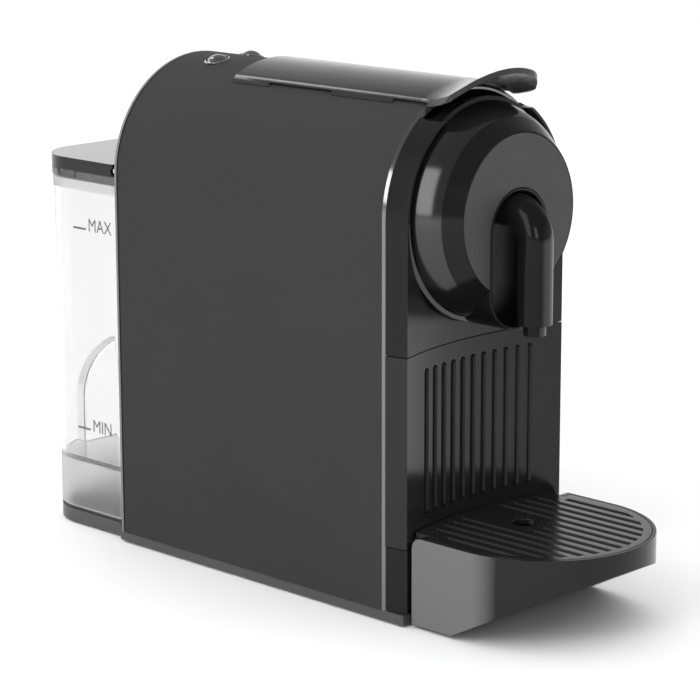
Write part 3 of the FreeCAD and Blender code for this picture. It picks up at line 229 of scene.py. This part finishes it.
def by_facing(material, axis, socket, low, high, start, end):
    """Moves one socket from low to high as a surface turns to face along one axis of the frame."""
    nodes, links, shader = tree_of(material)
    facing = turned_along(nodes, links, axis)
    links.new(spread(nodes, links, facing, low, high, start, end), shader.inputs[socket])


def polished_ends(material, gloss, shine):
    """Turns a moulded finish from matte to polished on the edges that face along Y."""
    shader = tree_of(material)[2]
    set_sockets(shader, Coat_IOR=2.2, Coat_Roughness=0.12)
    by_facing(material, "Y", "Roughness", low=gloss, high=0.16, start=0.25, end=0.5)
    by_facing(material, "Y", "Specular IOR Level", low=shine, high=0.5, start=0.25, end=0.5)
    by_facing(material, "Y", "Coat Weight", low=0.0, high=1.0, start=0.3, end=0.5)


def paint_edge_shade_and_highlight(material, edge):
    """Paints a line of shade and then a highlight round the casing, up to an edge at a place along Y: the
    dark line stands in for shade and the light line for the rounded edge catching light.
    """
    nodes, links, _ = tree_of(material)
    along = place_on(nodes, links)["Y"]
    dark, light = (0.004, 0.004, 0.004), (0.18, 0.18, 0.18)
    dark_start, light_start, blur = edge - 4.0 * MM, edge - 3.0 * MM, 0.1 * MM
    lay_over(material, dark, spread(nodes, links, along, 0.0, 1.0, dark_start - blur, dark_start))
    lay_over(material, light, calculate(nodes, links, "GREATER_THAN", along, light_start))


def paint_light_on_sides(material, colour, reach=None):
    """Paints light onto a finish on the walls that face left or right, all of them or those within a reach: a
    lighter colour that stands in for light falling on them from the side.
    """
    nodes, links, _ = tree_of(material)
    sideways = turned_along(nodes, links, "X")
    walls = spread(nodes, links, sideways, low=0.0, high=1.0, start=0.95, end=0.998)
    if reach:
        inside = within(nodes, links, place_on(nodes, links)["X"], 0.0, reach)
        walls = both(nodes, links, walls, inside)
    lay_over(material, colour, walls)


def paint_underside_light(material, colour):
    """Paints the faces that look down a paler colour: painted light that stands in for light bounced up into
    the shade under them.
    """
    nodes, links, _ = tree_of(material)
    upward = facing_of(nodes, links)["Z"]
    lay_over(material, colour, spread(nodes, links, upward, low=1.0, high=0.0, start=-0.4, end=-0.1))


def ringed(material, crease, shine, dull):
    """Polishes a turned piece behind a crease along Y, dulls it before that, and darkens its side wall."""
    nodes, links, shader = tree_of(material)
    blur = 0.2 * MM
    zone = spread(nodes, links, place_on(nodes, links)["Y"], dull, shine, crease - blur, crease + blur)
    lengthways = turned_along(nodes, links, "Y")
    wall = spread(nodes, links, lengthways, low=0.15, high=1.0, start=0.02, end=0.15)
    links.new(both(nodes, links, zone, wall), shader.inputs["Specular IOR Level"])


def clear_plastic(name, bands, grip_half, grip_front, grip_rear):
    """Clear moulded plastic in bands from the bottom up: (top height in metres, tint, roughness).

    The walls of the grip recess in the rear are frosted, so that the hand finds it.
    """
    material, nodes, links, shader = new_finish(name)
    set_sockets(shader, Transmission_Weight=1.0, IOR=1.33, Specular_IOR_Level=0.4)
    place = place_on(nodes, links)
    ceiling = bands[-1][0]
    height = spread(nodes, links, place["Z"], 0.0, 1.0, 0.0, ceiling)
    starts = [0.0] + [top / ceiling for top, _, _ in bands[:-1]]
    across = within(nodes, links, place["X"], 0.0, grip_half)
    along = within(nodes, links, place["Y"], (grip_front + grip_rear) / 2, (grip_rear - grip_front) / 2)
    lengthways = turned_along(nodes, links, "Y")
    walls = spread(nodes, links, lengthways, low=1.0, high=0.0, start=0.4, end=0.6)
    recess = both(nodes, links, both(nodes, links, across, along), walls)
    recess_tint, recess_frost = 0.62, 0.35
    for socket, column, level in (("Base Color", 1, recess_tint), ("Roughness", 2, recess_frost)):
        stops = [(start, band[column]) for start, band in zip(starts, bands)]
        banded = grey_steps(nodes, links, height, stops, "CONSTANT")
        links.new(mixed(nodes, links, recess, banded, (level, level, level)), shader.inputs[socket])
    ripple = cloud(nodes, links, 20.0 * MM, detail=1.0)
    links.new(relief(nodes, links, ripple, strength=0.04, depth=0.2 * MM), shader.inputs["Normal"])
    return material


# Shared geometry tools

def edge_group():
    """Node group that joins a carried-over mesh along its face borders and shades it smooth."""
    name = "join_faces"
    if name in bpy.data.node_groups:
        return bpy.data.node_groups[name]
    group = bpy.data.node_groups.new(name, "GeometryNodeTree")
    group.interface.new_socket("Geometry", in_out="INPUT", socket_type="NodeSocketGeometry")
    group.interface.new_socket("Geometry", in_out="OUTPUT", socket_type="NodeSocketGeometry")
    start = group.nodes.new("NodeGroupInput")
    end = group.nodes.new("NodeGroupOutput")
    merge = group.nodes.new("GeometryNodeMergeByDistance")
    merge.inputs["Distance"].default_value = 0.005 * MM
    normals = group.nodes.new("GeometryNodeSetMeshNormal")
    normals.mode = "SHARPNESS"
    group.links.new(start.outputs[0], merge.inputs["Geometry"])
    group.links.new(merge.outputs["Geometry"], normals.inputs["Mesh"])
    group.links.new(normals.outputs["Mesh"], end.inputs[0])
    return group


def soften(node, width, segments=2, whole_faces=True):
    """Rounds a node's edges by modifiers, width in metres, with its flat faces made whole first or not."""
    piece = NODES[node]
    join = piece.modifiers.new("join", "NODES")
    join.node_group = edge_group()
    if whole_faces:
        flat = piece.modifiers.new("flat", "DECIMATE")
        flat.decimate_type = "DISSOLVE"
        flat.angle_limit = FLAT_ANGLE
    bevel = piece.modifiers.new("edge", "BEVEL")
    bevel.width = width
    bevel.segments = segments
    bevel.limit_method = "ANGLE"
    bevel.angle_limit = SHARP_ANGLE
    bevel.use_clamp_overlap = True
    bevel.miter_outer = "MITER_ARC"
    normal = piece.modifiers.new("normal", "WEIGHTED_NORMAL")
    normal.keep_sharp = True


def paint(material, *names):
    """Gives nodes one finish."""
    for name in names:
        slots = NODES[name].data.materials
        slots.clear()
        slots.append(material)


def dress(material, edge, *names, **rounding):
    """Gives nodes one finish and rounds their edges."""
    paint(material, *names)
    for name in names:
        soften(name, edge, **rounding)


def piece_from(name, build, material, body):
    """A new piece made in mesh code, riding on a body."""
    mesh = bpy.data.meshes.new(name)
    work = bmesh.new()
    build(work)
    bmesh.ops.recalc_face_normals(work, faces=work.faces)
    work.to_mesh(mesh)
    work.free()
    piece = bpy.data.objects.new(name, mesh)
    bpy.context.scene.collection.objects.link(piece)
    mesh.materials.append(material)
    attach(piece, body)
    return piece


def screw_head(work, x, y, seat, radius, height):
    """A low round screw head with a cross recess, hanging below its seat."""
    sides = 24
    circle = [(math.cos(math.tau * step / sides), math.sin(math.tau * step / sides)) for step in range(sides)]
    arm, half = 0.62, 0.15
    cross = [(half, half), (half, arm), (-half, arm), (-half, half), (-arm, half), (-arm, -half),
             (-half, -half), (-half, -arm), (half, -arm), (half, -half), (arm, -half), (arm, half)]

    def ring(points, share, z):
        return [work.verts.new((x + px * radius * share, y + py * radius * share, z)) for px, py in points]

    def wall(first, second):
        for step in range(len(first)):
            work.faces.new((first[step - 1], first[step], second[step], second[step - 1]))

    top = ring(circle, 1.0, seat)
    rim = ring(circle, 0.96, seat - 0.6 * height)
    face = ring(circle, 0.8, seat - height)
    mouth = ring(cross, 1.0, seat - height)
    bottom = ring(cross, 0.9, seat - 0.4 * height)
    wall(top, rim)
    wall(rim, face)
    wall(mouth, bottom)
    work.faces.new(top)
    work.faces.new(bottom)
    borders = [work.edges.get((loop[step - 1], loop[step]))
               for loop in (face, mouth) for step in range(len(loop))]
    bmesh.ops.triangle_fill(work, use_beauty=True, edges=borders)


# Settings

class CasingSettings(bpy.types.PropertyGroup):
    """Finish of the casing and the front."""
    shell_colour: bpy.props.FloatVectorProperty(
        name="Shell colour", description="Matte grey of the arch casing",
        default=(0.0325, 0.0325, 0.033), size=3, subtype="COLOR", min=0.0, max=1.0)
    front_colour: bpy.props.FloatVectorProperty(
        name="Front colour", description="Black of the front, the head and the spout",
        default=(0.007, 0.007, 0.0071), size=3, subtype="COLOR", min=0.0, max=1.0)
    edge: bpy.props.FloatProperty(
        name="Edge radius", description="Rounding of moulded edges",
        default=0.4 * MM, subtype="DISTANCE", unit="LENGTH", min=0.0, max=2.0 * MM)


class TankSettings(bpy.types.PropertyGroup):
    """Finish of the water tank."""
    clear_tint: bpy.props.FloatProperty(
        name="Tank tint", description="Light that passes one wall of the clear tank",
        default=0.9, subtype="FACTOR", min=0.5, max=1.0)
    full_mark: bpy.props.FloatProperty(
        name="Full mark", description="Height of the upper level mark",
        default=150.5 * MM, subtype="DISTANCE", unit="LENGTH", min=50.0 * MM, max=170.0 * MM)
    empty_mark: bpy.props.FloatProperty(
        name="Empty mark", description="Height of the lower level mark",
        default=50.0 * MM, subtype="DISTANCE", unit="LENGTH", min=40.0 * MM, max=100.0 * MM)


class StageSettings(bpy.types.PropertyGroup):
    """Studio and camera."""
    floor_colour: bpy.props.FloatVectorProperty(
        name="Floor colour", description="Pale floor",
        default=(0.9, 0.9, 0.9), size=3, subtype="COLOR", min=0.0, max=1.0)
    camera_place: bpy.props.FloatVectorProperty(
        name="Camera place", description="Where the camera stands",
        default=(-0.890, SHELL_FRONT - 0.7925, 0.3924), size=3, subtype="TRANSLATION", unit="LENGTH")
    camera_azimuth: bpy.props.FloatProperty(
        name="Camera azimuth", description="Turn of the camera round the machine",
        default=math.radians(-45.748), subtype="ANGLE", unit="ROTATION")
    camera_elevation: bpy.props.FloatProperty(
        name="Camera elevation", description="Camera's height above the horizon",
        default=math.radians(13.077), subtype="ANGLE", unit="ROTATION")
    camera_roll: bpy.props.FloatProperty(
        name="Camera roll", description="Lean of the picture",
        default=math.radians(-0.14), subtype="ANGLE", unit="ROTATION")
    camera_lens: bpy.props.FloatProperty(
        name="Lens", description="Focal length on a 36 mm wide frame",
        default=139.74, unit="CAMERA", min=20.0, max=400.0)


# Pieces

class COFFEE_OT_casing(bpy.types.Operator):
    """Finishes the arch casing, the base, the front housing and the sill, and adds the base screws"""
    bl_idname = "coffee.casing"
    bl_label = "Casing"

    def execute(self, context):
        look = context.scene.coffee_casing
        shell_gloss, front_shine = 0.65, 0.36
        shell = moulded("shell_matte_grey", look.shell_colour, shell_gloss, grain=0.5 * MM, depth=0.03 * MM,
                        drift=0.03)
        polished_ends(shell, shell_gloss, shine=0.1)
        # Painted shade and painted highlight lines along the rear edge of the shell
        paint_edge_shade_and_highlight(shell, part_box("arch_shell")[1].y)
        front = moulded("front_satin_black", look.front_colour, gloss=0.3, grain=1.6 * MM, depth=0.006 * MM,
                        drift=0.08, Specular_IOR_Level=front_shine)
        by_facing(front, "X", "Specular IOR Level", low=front_shine, high=0.2, start=0.6, end=0.9)
        base = moulded("base_satin_grey", (0.048, 0.048, 0.049), gloss=0.4)
        rubber = moulded("foot_rubber", (0.02, 0.02, 0.02), gloss=0.75, grain=0.4 * MM, depth=0.05 * MM)
        inner = moulded("inner_grey_plastic", (0.09, 0.09, 0.092), gloss=0.5)
        panel = moulded("rear_matte_black", (0.02, 0.02, 0.0202), gloss=0.55, grain=0.5 * MM, drift=0.04)
        dress(shell, look.edge * 2.5, "arch_shell", segments=3)
        dress(base, look.edge * 2.0, "base_plate", segments=3)
        dress(front, look.edge, "front_housing", "front_sill")
        dress(panel, look.edge, "rear_panel")
        dress(rubber, look.edge * 0.7, "base_feet", "cord_gland")
        dress(inner, look.edge * 0.7, "partition_wall")
        zinc = brushed("screw_zinc", (0.45, 0.45, 0.46), gloss=0.3, lines=NO_LINES)
        piece_from("base_screws", self.screws, zinc, "machine")
        return {"FINISHED"}

    def screws(self, work):
        """Three pairs of screws that hold the base to the casing."""
        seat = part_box("base_plate")[0].z
        radius, height, side = 2.6 * MM, 0.7 * MM, 40.0 * MM
        for x in (-side, side):
            for behind_front in (50.0 * MM, 110.0 * MM, 166.0 * MM):
                screw_head(work, x, SHELL_FRONT + behind_front, seat, radius, height)


class COFFEE_OT_brew_head(bpy.types.Operator):
    """Finishes the drum, disc, niche and spout on the front"""
    bl_idname = "coffee.brew_head"
    bl_label = "Brewing head"

    def execute(self, context):
        look = context.scene.coffee_casing
        disc_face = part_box("head_disc")[0].y
        crease_behind_disc = 7.7 * MM
        drum = moulded("drum_gloss_black", look.front_colour, gloss=0.14, grain=2.0 * MM, depth=0.004 * MM)
        ringed(drum, disc_face + crease_behind_disc, shine=0.7, dull=0.18)
        tube = moulded("spout_gloss_black", look.front_colour, gloss=0.1, grain=2.0 * MM, depth=0.004 * MM)
        by_facing(tube, "Y", "Specular IOR Level", low=0.12, high=0.55, start=0.88, end=0.97)
        disc = moulded("disc_satin_grey", (0.035, 0.035, 0.036), gloss=0.4, grain=0.8 * MM, depth=0.01 * MM)
        niche = moulded("niche_black", (0.004, 0.004, 0.0041), gloss=0.35, grain=1.0 * MM, depth=0.01 * MM,
                        Specular_IOR_Level=0.25)
        dress(drum, look.edge, "head_drum")
        dress(tube, look.edge, "spout", "spout_nozzle")
        dress(niche, look.edge, "spout_niche")
        dress(disc, look.edge, "head_disc")
        return {"FINISHED"}


class COFFEE_OT_lever(bpy.types.Operator):
    """Finishes the lever cover and its cam arms"""
    bl_idname = "coffee.lever"
    bl_label = "Lever"

    def execute(self, context):
        look = context.scene.coffee_casing
        cover = moulded("lever_satin_black", (0.013, 0.013, 0.0132), gloss=0.2, grain=0.8 * MM,
                        depth=0.01 * MM, Specular_IOR_Level=0.42)
        # Painted light: the cover's underside is lighter, standing in for light bounced into its shade
        paint_underside_light(cover, (0.035, 0.035, 0.0355))
        sheet = brushed("arm_blackened_steel", (0.05, 0.05, 0.052), gloss=0.42)
        dress(cover, look.edge * 1.2, "lever_cover", segments=3)
        dress(sheet, look.edge * 0.6, "lever_arm_left", "lever_arm_right", "lever_pin")
        return {"FINISHED"}


class COFFEE_OT_buttons(bpy.types.Operator):
    """Finishes the two buttons, their bezels, the board and the switches"""
    bl_idname = "coffee.buttons"
    bl_label = "Buttons"

    def execute(self, context):
        edge = context.scene.coffee_casing.edge * 0.6
        cap = brushed("button_grey_metal", (0.24, 0.24, 0.242), gloss=0.13, lines=NO_LINES, drift=0.05)
        ring = brushed("bezel_metal", (0.42, 0.42, 0.425), gloss=0.12, lines=NO_LINES, drift=0.03)
        board = moulded("board_green", (0.02, 0.09, 0.04), gloss=0.35)
        switch = moulded("switch_black", (0.015, 0.015, 0.016), gloss=0.45)
        dress(cap, edge, "button_left", "button_right")
        dress(ring, edge, "button_bezels")
        dress(board, edge, "control_board")
        dress(switch, edge, "button_switches")
        return {"FINISHED"}


class COFFEE_OT_brew_unit(bpy.types.Operator):
    """Finishes the brew frame, the capsule chamber and the piston"""
    bl_idname = "coffee.brew_unit"
    bl_label = "Brew unit"

    def execute(self, context):
        edge = context.scene.coffee_casing.edge * 0.6
        steel = brushed("frame_steel", (0.5, 0.5, 0.5), gloss=0.35, lines=LINES_ACROSS_Y)
        cast = brushed("cast_alloy", (0.42, 0.42, 0.41), gloss=0.5, lines=NO_LINES)
        plastic = moulded("brew_black_plastic", (0.018, 0.018, 0.018), gloss=0.45)
        seal = moulded("seal_rubber", (0.03, 0.03, 0.03), gloss=0.7)
        dress(steel, edge, "brew_frame_left", "brew_frame_right", "extraction_plate", "needle_plate",
              "rear_cross_bar", "water_pipe", "piston", "piston_pins")
        dress(cast, edge, "capsule_cage")
        dress(plastic, edge, "brew_head", "coffee_outlet", "capsule_guide_left", "capsule_guide_right")
        dress(seal, edge, "cage_seal")
        return {"FINISHED"}


class COFFEE_OT_tank(bpy.types.Operator):
    """Finishes the water tank, its lid, valve and coupling, and prints the level marks"""
    bl_idname = "coffee.tank"
    bl_label = "Water tank"

    def execute(self, context):
        look = context.scene.coffee_tank
        edge = context.scene.coffee_casing.edge
        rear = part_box("tank")[1].y
        bands = (
            (34.0 * MM, 0.84, 0.42),  # frosted skirt
            (170.0 * MM, look.clear_tint, 0.03),  # clear walls
            (175.0 * MM, 0.76, 0.35),  # frosted collar
            (180.0 * MM, 0.16, 0.2),  # dark band under the lid
            (200.0 * MM, 0.9, 0.2),  # ears that hold the lid pin
        )
        clear = clear_plastic("tank_clear_plastic", bands, grip_half=26.5 * MM, grip_front=rear - 8.0 * MM,
                              grip_rear=rear - 1.0 * MM)
        lid = moulded("lid_gloss_black", (0.006, 0.006, 0.0061), gloss=0.07, grain=1.2 * MM,
                      depth=0.006 * MM, Specular_IOR_Level=0.32)
        steel = brushed("lid_pin_steel", (0.6, 0.6, 0.6), gloss=0.3)
        plastic = moulded("valve_plastic", (0.16, 0.16, 0.165), gloss=0.4)
        seal = moulded("coupling_rubber", (0.03, 0.03, 0.03), gloss=0.7)
        dress(clear, edge, "tank")
        dress(lid, edge, "tank_lid")
        dress(plastic, edge, "tank_valve", "tank_coupling")
        dress(steel, edge * 0.5, "lid_pin")
        dress(seal, edge * 0.5, "coupling_seal")
        ink = moulded("mark_ink", (0.1, 0.1, 0.1), gloss=0.6)
        self.mark("mark_full", "MAX", look.full_mark, ink)
        self.mark("mark_empty", "MIN", look.empty_mark, ink)
        return {"FINISHED"}

    def mark(self, name, word, height, ink):
        """A level line and its word, printed on the tank's left wall."""
        wall = -50.0 * MM
        start = SHELL_FRONT + 203.0 * MM
        line_thickness, line_length, line_height = 0.08 * MM, 9.4 * MM, 1.0 * MM
        line_behind_start, line_rise, word_rise = 6.3 * MM, 1.0 * MM, 0.2 * MM
        narrowing = 0.88
        quarter_turn = math.pi / 2
        text = bpy.data.curves.new(name, "FONT")
        text.body = word
        text.size = 9.2 * MM
        text.offset = -0.02 * MM
        text.extrude = line_thickness / 2
        carrier = bpy.data.objects.new(name + "_text", text)
        bpy.context.scene.collection.objects.link(carrier)
        carrier.matrix_world = (Matrix.Translation((wall, start, height + word_rise))
                                @ Matrix.Rotation(-quarter_turn, 4, "Z")
                                @ Matrix.Rotation(quarter_turn, 4, "X")
                                @ Matrix.Diagonal((narrowing, 1.0, 1.0, 1.0)))
        bpy.context.view_layer.update()
        mesh = bpy.data.meshes.new_from_object(carrier.evaluated_get(bpy.context.evaluated_depsgraph_get()))
        mesh.transform(carrier.matrix_world)
        bpy.data.objects.remove(carrier)

        def build(work):
            work.from_mesh(mesh)
            line = (Matrix.Translation((wall, start + line_behind_start, height + line_rise))
                    @ Matrix.Diagonal((line_thickness, line_length, line_height, 1.0)))
            bmesh.ops.create_cube(work, size=1.0, matrix=line)

        piece_from(name, build, ink, "tank")
        bpy.data.meshes.remove(mesh)


class COFFEE_OT_drawer(bpy.types.Operator):
    """Finishes the capsule container, the drip tray and its grid"""
    bl_idname = "coffee.drawer"
    bl_label = "Drawer"

    def execute(self, context):
        look = context.scene.coffee_casing
        front = moulded("container_gloss_black", (0.011, 0.011, 0.0111), gloss=0.16, grain=1.2 * MM,
                        depth=0.006 * MM, drift=0.08, Specular_IOR_Level=0.28)
        # Painted light: the groove walls that face left or right are lighter, standing in for light catching
        # them
        groove_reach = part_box("capsule_container")[1].x - 6.0 * MM
        paint_light_on_sides(front, (0.06, 0.06, 0.061), groove_reach)
        tray = moulded("tray_satin_grey", (0.01, 0.01, 0.0102), gloss=0.22, grain=0.8 * MM, depth=0.01 * MM,
                       Specular_IOR_Level=0.24)
        # Painted light: the tray's side walls are lighter than its front, standing in for light from the side
        paint_light_on_sides(tray, (0.126, 0.126, 0.128))
        grid = moulded("grid_satin_black", (0.01, 0.01, 0.0102), gloss=0.2, grain=1.0 * MM, depth=0.006 * MM)
        # Painted highlights: the slot walls that face left or right are lighter, standing in for light
        # catching the slot edges
        paint_light_on_sides(grid, (0.045, 0.045, 0.046))
        inner = moulded("runner_grey", (0.09, 0.09, 0.092), gloss=0.45)
        dress(front, look.edge, "capsule_container")
        dress(tray, look.edge, "drip_tray")
        dress(grid, look.edge * 1.5, "drip_grid", whole_faces=False)
        dress(inner, look.edge * 0.6, "drawer_runners")
        return {"FINISHED"}


class COFFEE_OT_pump_bay(bpy.types.Operator):
    """Finishes the pump, the heater and the hoses inside the casing"""
    bl_idname = "coffee.pump_bay"
    bl_label = "Pump bay"

    def execute(self, context):
        edge = context.scene.coffee_casing.edge
        metal = brushed("pump_metal", (0.5, 0.5, 0.5), gloss=0.4)
        rubber = moulded("boot_rubber", (0.02, 0.02, 0.02), gloss=0.75)
        cast = brushed("heater_cast", (0.4, 0.4, 0.39), gloss=0.5, lines=NO_LINES)
        hose = moulded("hose_silicone", (0.75, 0.74, 0.71), gloss=0.4)
        plastic = moulded("bay_black_plastic", (0.02, 0.02, 0.02), gloss=0.45)
        dress(metal, edge, "pump", "thermostats")
        dress(rubber, edge, "pump_boot")
        dress(cast, edge, "heater_block", "heater_stand")
        dress(plastic, edge, "pump_strap", "flow_meter")
        paint(hose, "hose_tank", "hose_meter", "hose_pump", "hose_brew")
        return {"FINISHED"}


class COFFEE_OT_stage(bpy.types.Operator):
    """Sets the pale floor, the soft light and the camera"""
    bl_idname = "coffee.stage"
    bl_label = "Studio"

    def execute(self, context):
        look = context.scene.coffee_stage
        self.floor(look)
        self.room(context)
        self.lamps()
        self.camera(context, look)
        context.scene.view_settings.view_transform = "Standard"
        return {"FINISHED"}

    def floor(self, look):
        """A wide plain floor of matte paper."""
        mesh = bpy.data.meshes.new("floor")
        reach = 14.0
        mesh.from_pydata([(-reach, -reach, 0), (reach, -reach, 0), (reach, reach, 0), (-reach, reach, 0)],
                         [], [(0, 1, 2, 3)])
        floor = bpy.data.objects.new("floor", mesh)
        bpy.context.scene.collection.objects.link(floor)
        paper = moulded("floor_paper", look.floor_colour, gloss=0.8, grain=2.0 * MM, drift=0.004,
                        Specular_IOR_Level=0.05)
        mesh.materials.append(paper)

    def room(self, context):
        """A dim room with a bright wall low behind the machine."""
        world = bpy.data.worlds.new("studio")
        context.scene.world = world
        world.use_nodes = True
        nodes, links = world.node_tree.nodes, world.node_tree.links
        background = nodes["Background"]
        bright_side = Vector((0.1, 0.9, -0.42)).normalized()
        place = nodes.new("ShaderNodeTexCoord")
        toward = nodes.new("ShaderNodeVectorMath")
        toward.operation = "DOT_PRODUCT"
        toward.inputs[1].default_value = bright_side
        links.new(place.outputs["Generated"], toward.inputs[0])
        side = spread(nodes, links, toward.outputs["Value"], low=0.0, high=1.0, start=-0.9, end=1.0)
        levels = ((0.0, 0.13), (0.66, 0.26), (0.86, 0.9), (1.0, 1.0))
        links.new(grey_steps(nodes, links, side, levels, "LINEAR"), background.inputs["Color"])
        background.inputs["Strength"].default_value = 1.8

    def lamps(self):
        """A wide ceiling light and a fill that don't show in gloss, and three soft boxes that do."""
        middle = (0.0, 0.0, 0.2)
        front_edge = (-0.05, -0.07, 0.2)
        ceiling = self.soft_box("ceiling", (-0.3, 0.9, 4.0), (-0.3, 0.9, 0.0), size=(13.0, 13.0), power=510.0)
        fill = self.soft_box("fill", (-2.2, -0.4, 2.0), (-0.2, 0.0, 0.0), size=(2.5, 2.5), power=5.0)
        for lamp in (ceiling, fill):
            lamp.visible_glossy = False
        self.soft_box("left_box", (-1.7, -0.2, 0.85), middle, size=(0.8, 1.5), power=14.0)
        self.soft_box("front_box", (-1.85, -2.23, 0.84), front_edge, size=(0.8, 1.1), power=15.0)
        self.soft_box("rear_box", (-0.06, 1.15, 1.38), middle, size=(0.25, 0.25), power=1.6)

    def soft_box(self, name, place, aim, size, power):
        """A light panel aimed at a point, with its width and height in metres and its power in watts."""
        data = bpy.data.lights.new(name, "AREA")
        data.shape = "RECTANGLE"
        data.size, data.size_y = size
        data.energy = power
        lamp = bpy.data.objects.new(name, data)
        bpy.context.scene.collection.objects.link(lamp)
        lamp.location = place
        lamp.rotation_euler = (Vector(aim) - Vector(place)).to_track_quat("-Z", "Y").to_euler()
        return lamp

    def camera(self, context, look):
        """The camera at the photograph's angle."""
        data = bpy.data.cameras.new("camera")
        data.lens = look.camera_lens
        data.sensor_width = 36.0
        camera = bpy.data.objects.new("camera", data)
        context.scene.collection.objects.link(camera)
        turn, rise = look.camera_azimuth, look.camera_elevation
        back = Vector((math.sin(turn) * math.cos(rise), -math.cos(turn) * math.cos(rise), math.sin(rise)))
        lean = Matrix.Rotation(look.camera_roll, 3, "Z").to_quaternion()
        camera.rotation_mode = "QUATERNION"
        camera.rotation_quaternion = (-back).to_track_quat("-Z", "Y") @ lean
        camera.location = look.camera_place
        context.scene.camera = camera


PIECES = (COFFEE_OT_casing, COFFEE_OT_brew_head, COFFEE_OT_lever, COFFEE_OT_buttons, COFFEE_OT_brew_unit,
          COFFEE_OT_tank, COFFEE_OT_drawer, COFFEE_OT_pump_bay, COFFEE_OT_stage)
SETTINGS = {"coffee_casing": CasingSettings, "coffee_tank": TankSettings, "coffee_stage": StageSettings}


class COFFEE_PT_panel(bpy.types.Panel):
    """Lists the machine's pieces and their settings"""
    bl_idname = "COFFEE_PT_panel"
    bl_label = "Coffee machine"
    bl_space_type = "VIEW_3D"
    bl_region_type = "UI"
    bl_category = "Coffee machine"

    def draw(self, context):
        for piece in PIECES:
            self.layout.operator(piece.bl_idname)
        for key, settings in SETTINGS.items():
            box = self.layout.box()
            for setting in settings.__annotations__:
                box.prop(getattr(context.scene, key), setting)


CLASSES = (*SETTINGS.values(), *PIECES, COFFEE_PT_panel)


def register():
    for item in CLASSES:
        bpy.utils.register_class(item)
    for key, settings in SETTINGS.items():
        setattr(bpy.types.Scene, key, bpy.props.PointerProperty(type=settings))


def unregister():
    for key in SETTINGS:
        delattr(bpy.types.Scene, key)
    for item in reversed(CLASSES):
        bpy.utils.unregister_class(item)


def main():
    register()
    bpy.ops.coffee.casing()
    bpy.ops.coffee.brew_head()
    bpy.ops.coffee.lever()
    bpy.ops.coffee.buttons()
    bpy.ops.coffee.brew_unit()
    bpy.ops.coffee.tank()
    bpy.ops.coffee.drawer()
    bpy.ops.coffee.pump_bay()
    bpy.ops.coffee.stage()


if __name__ == "__main__":
    main()
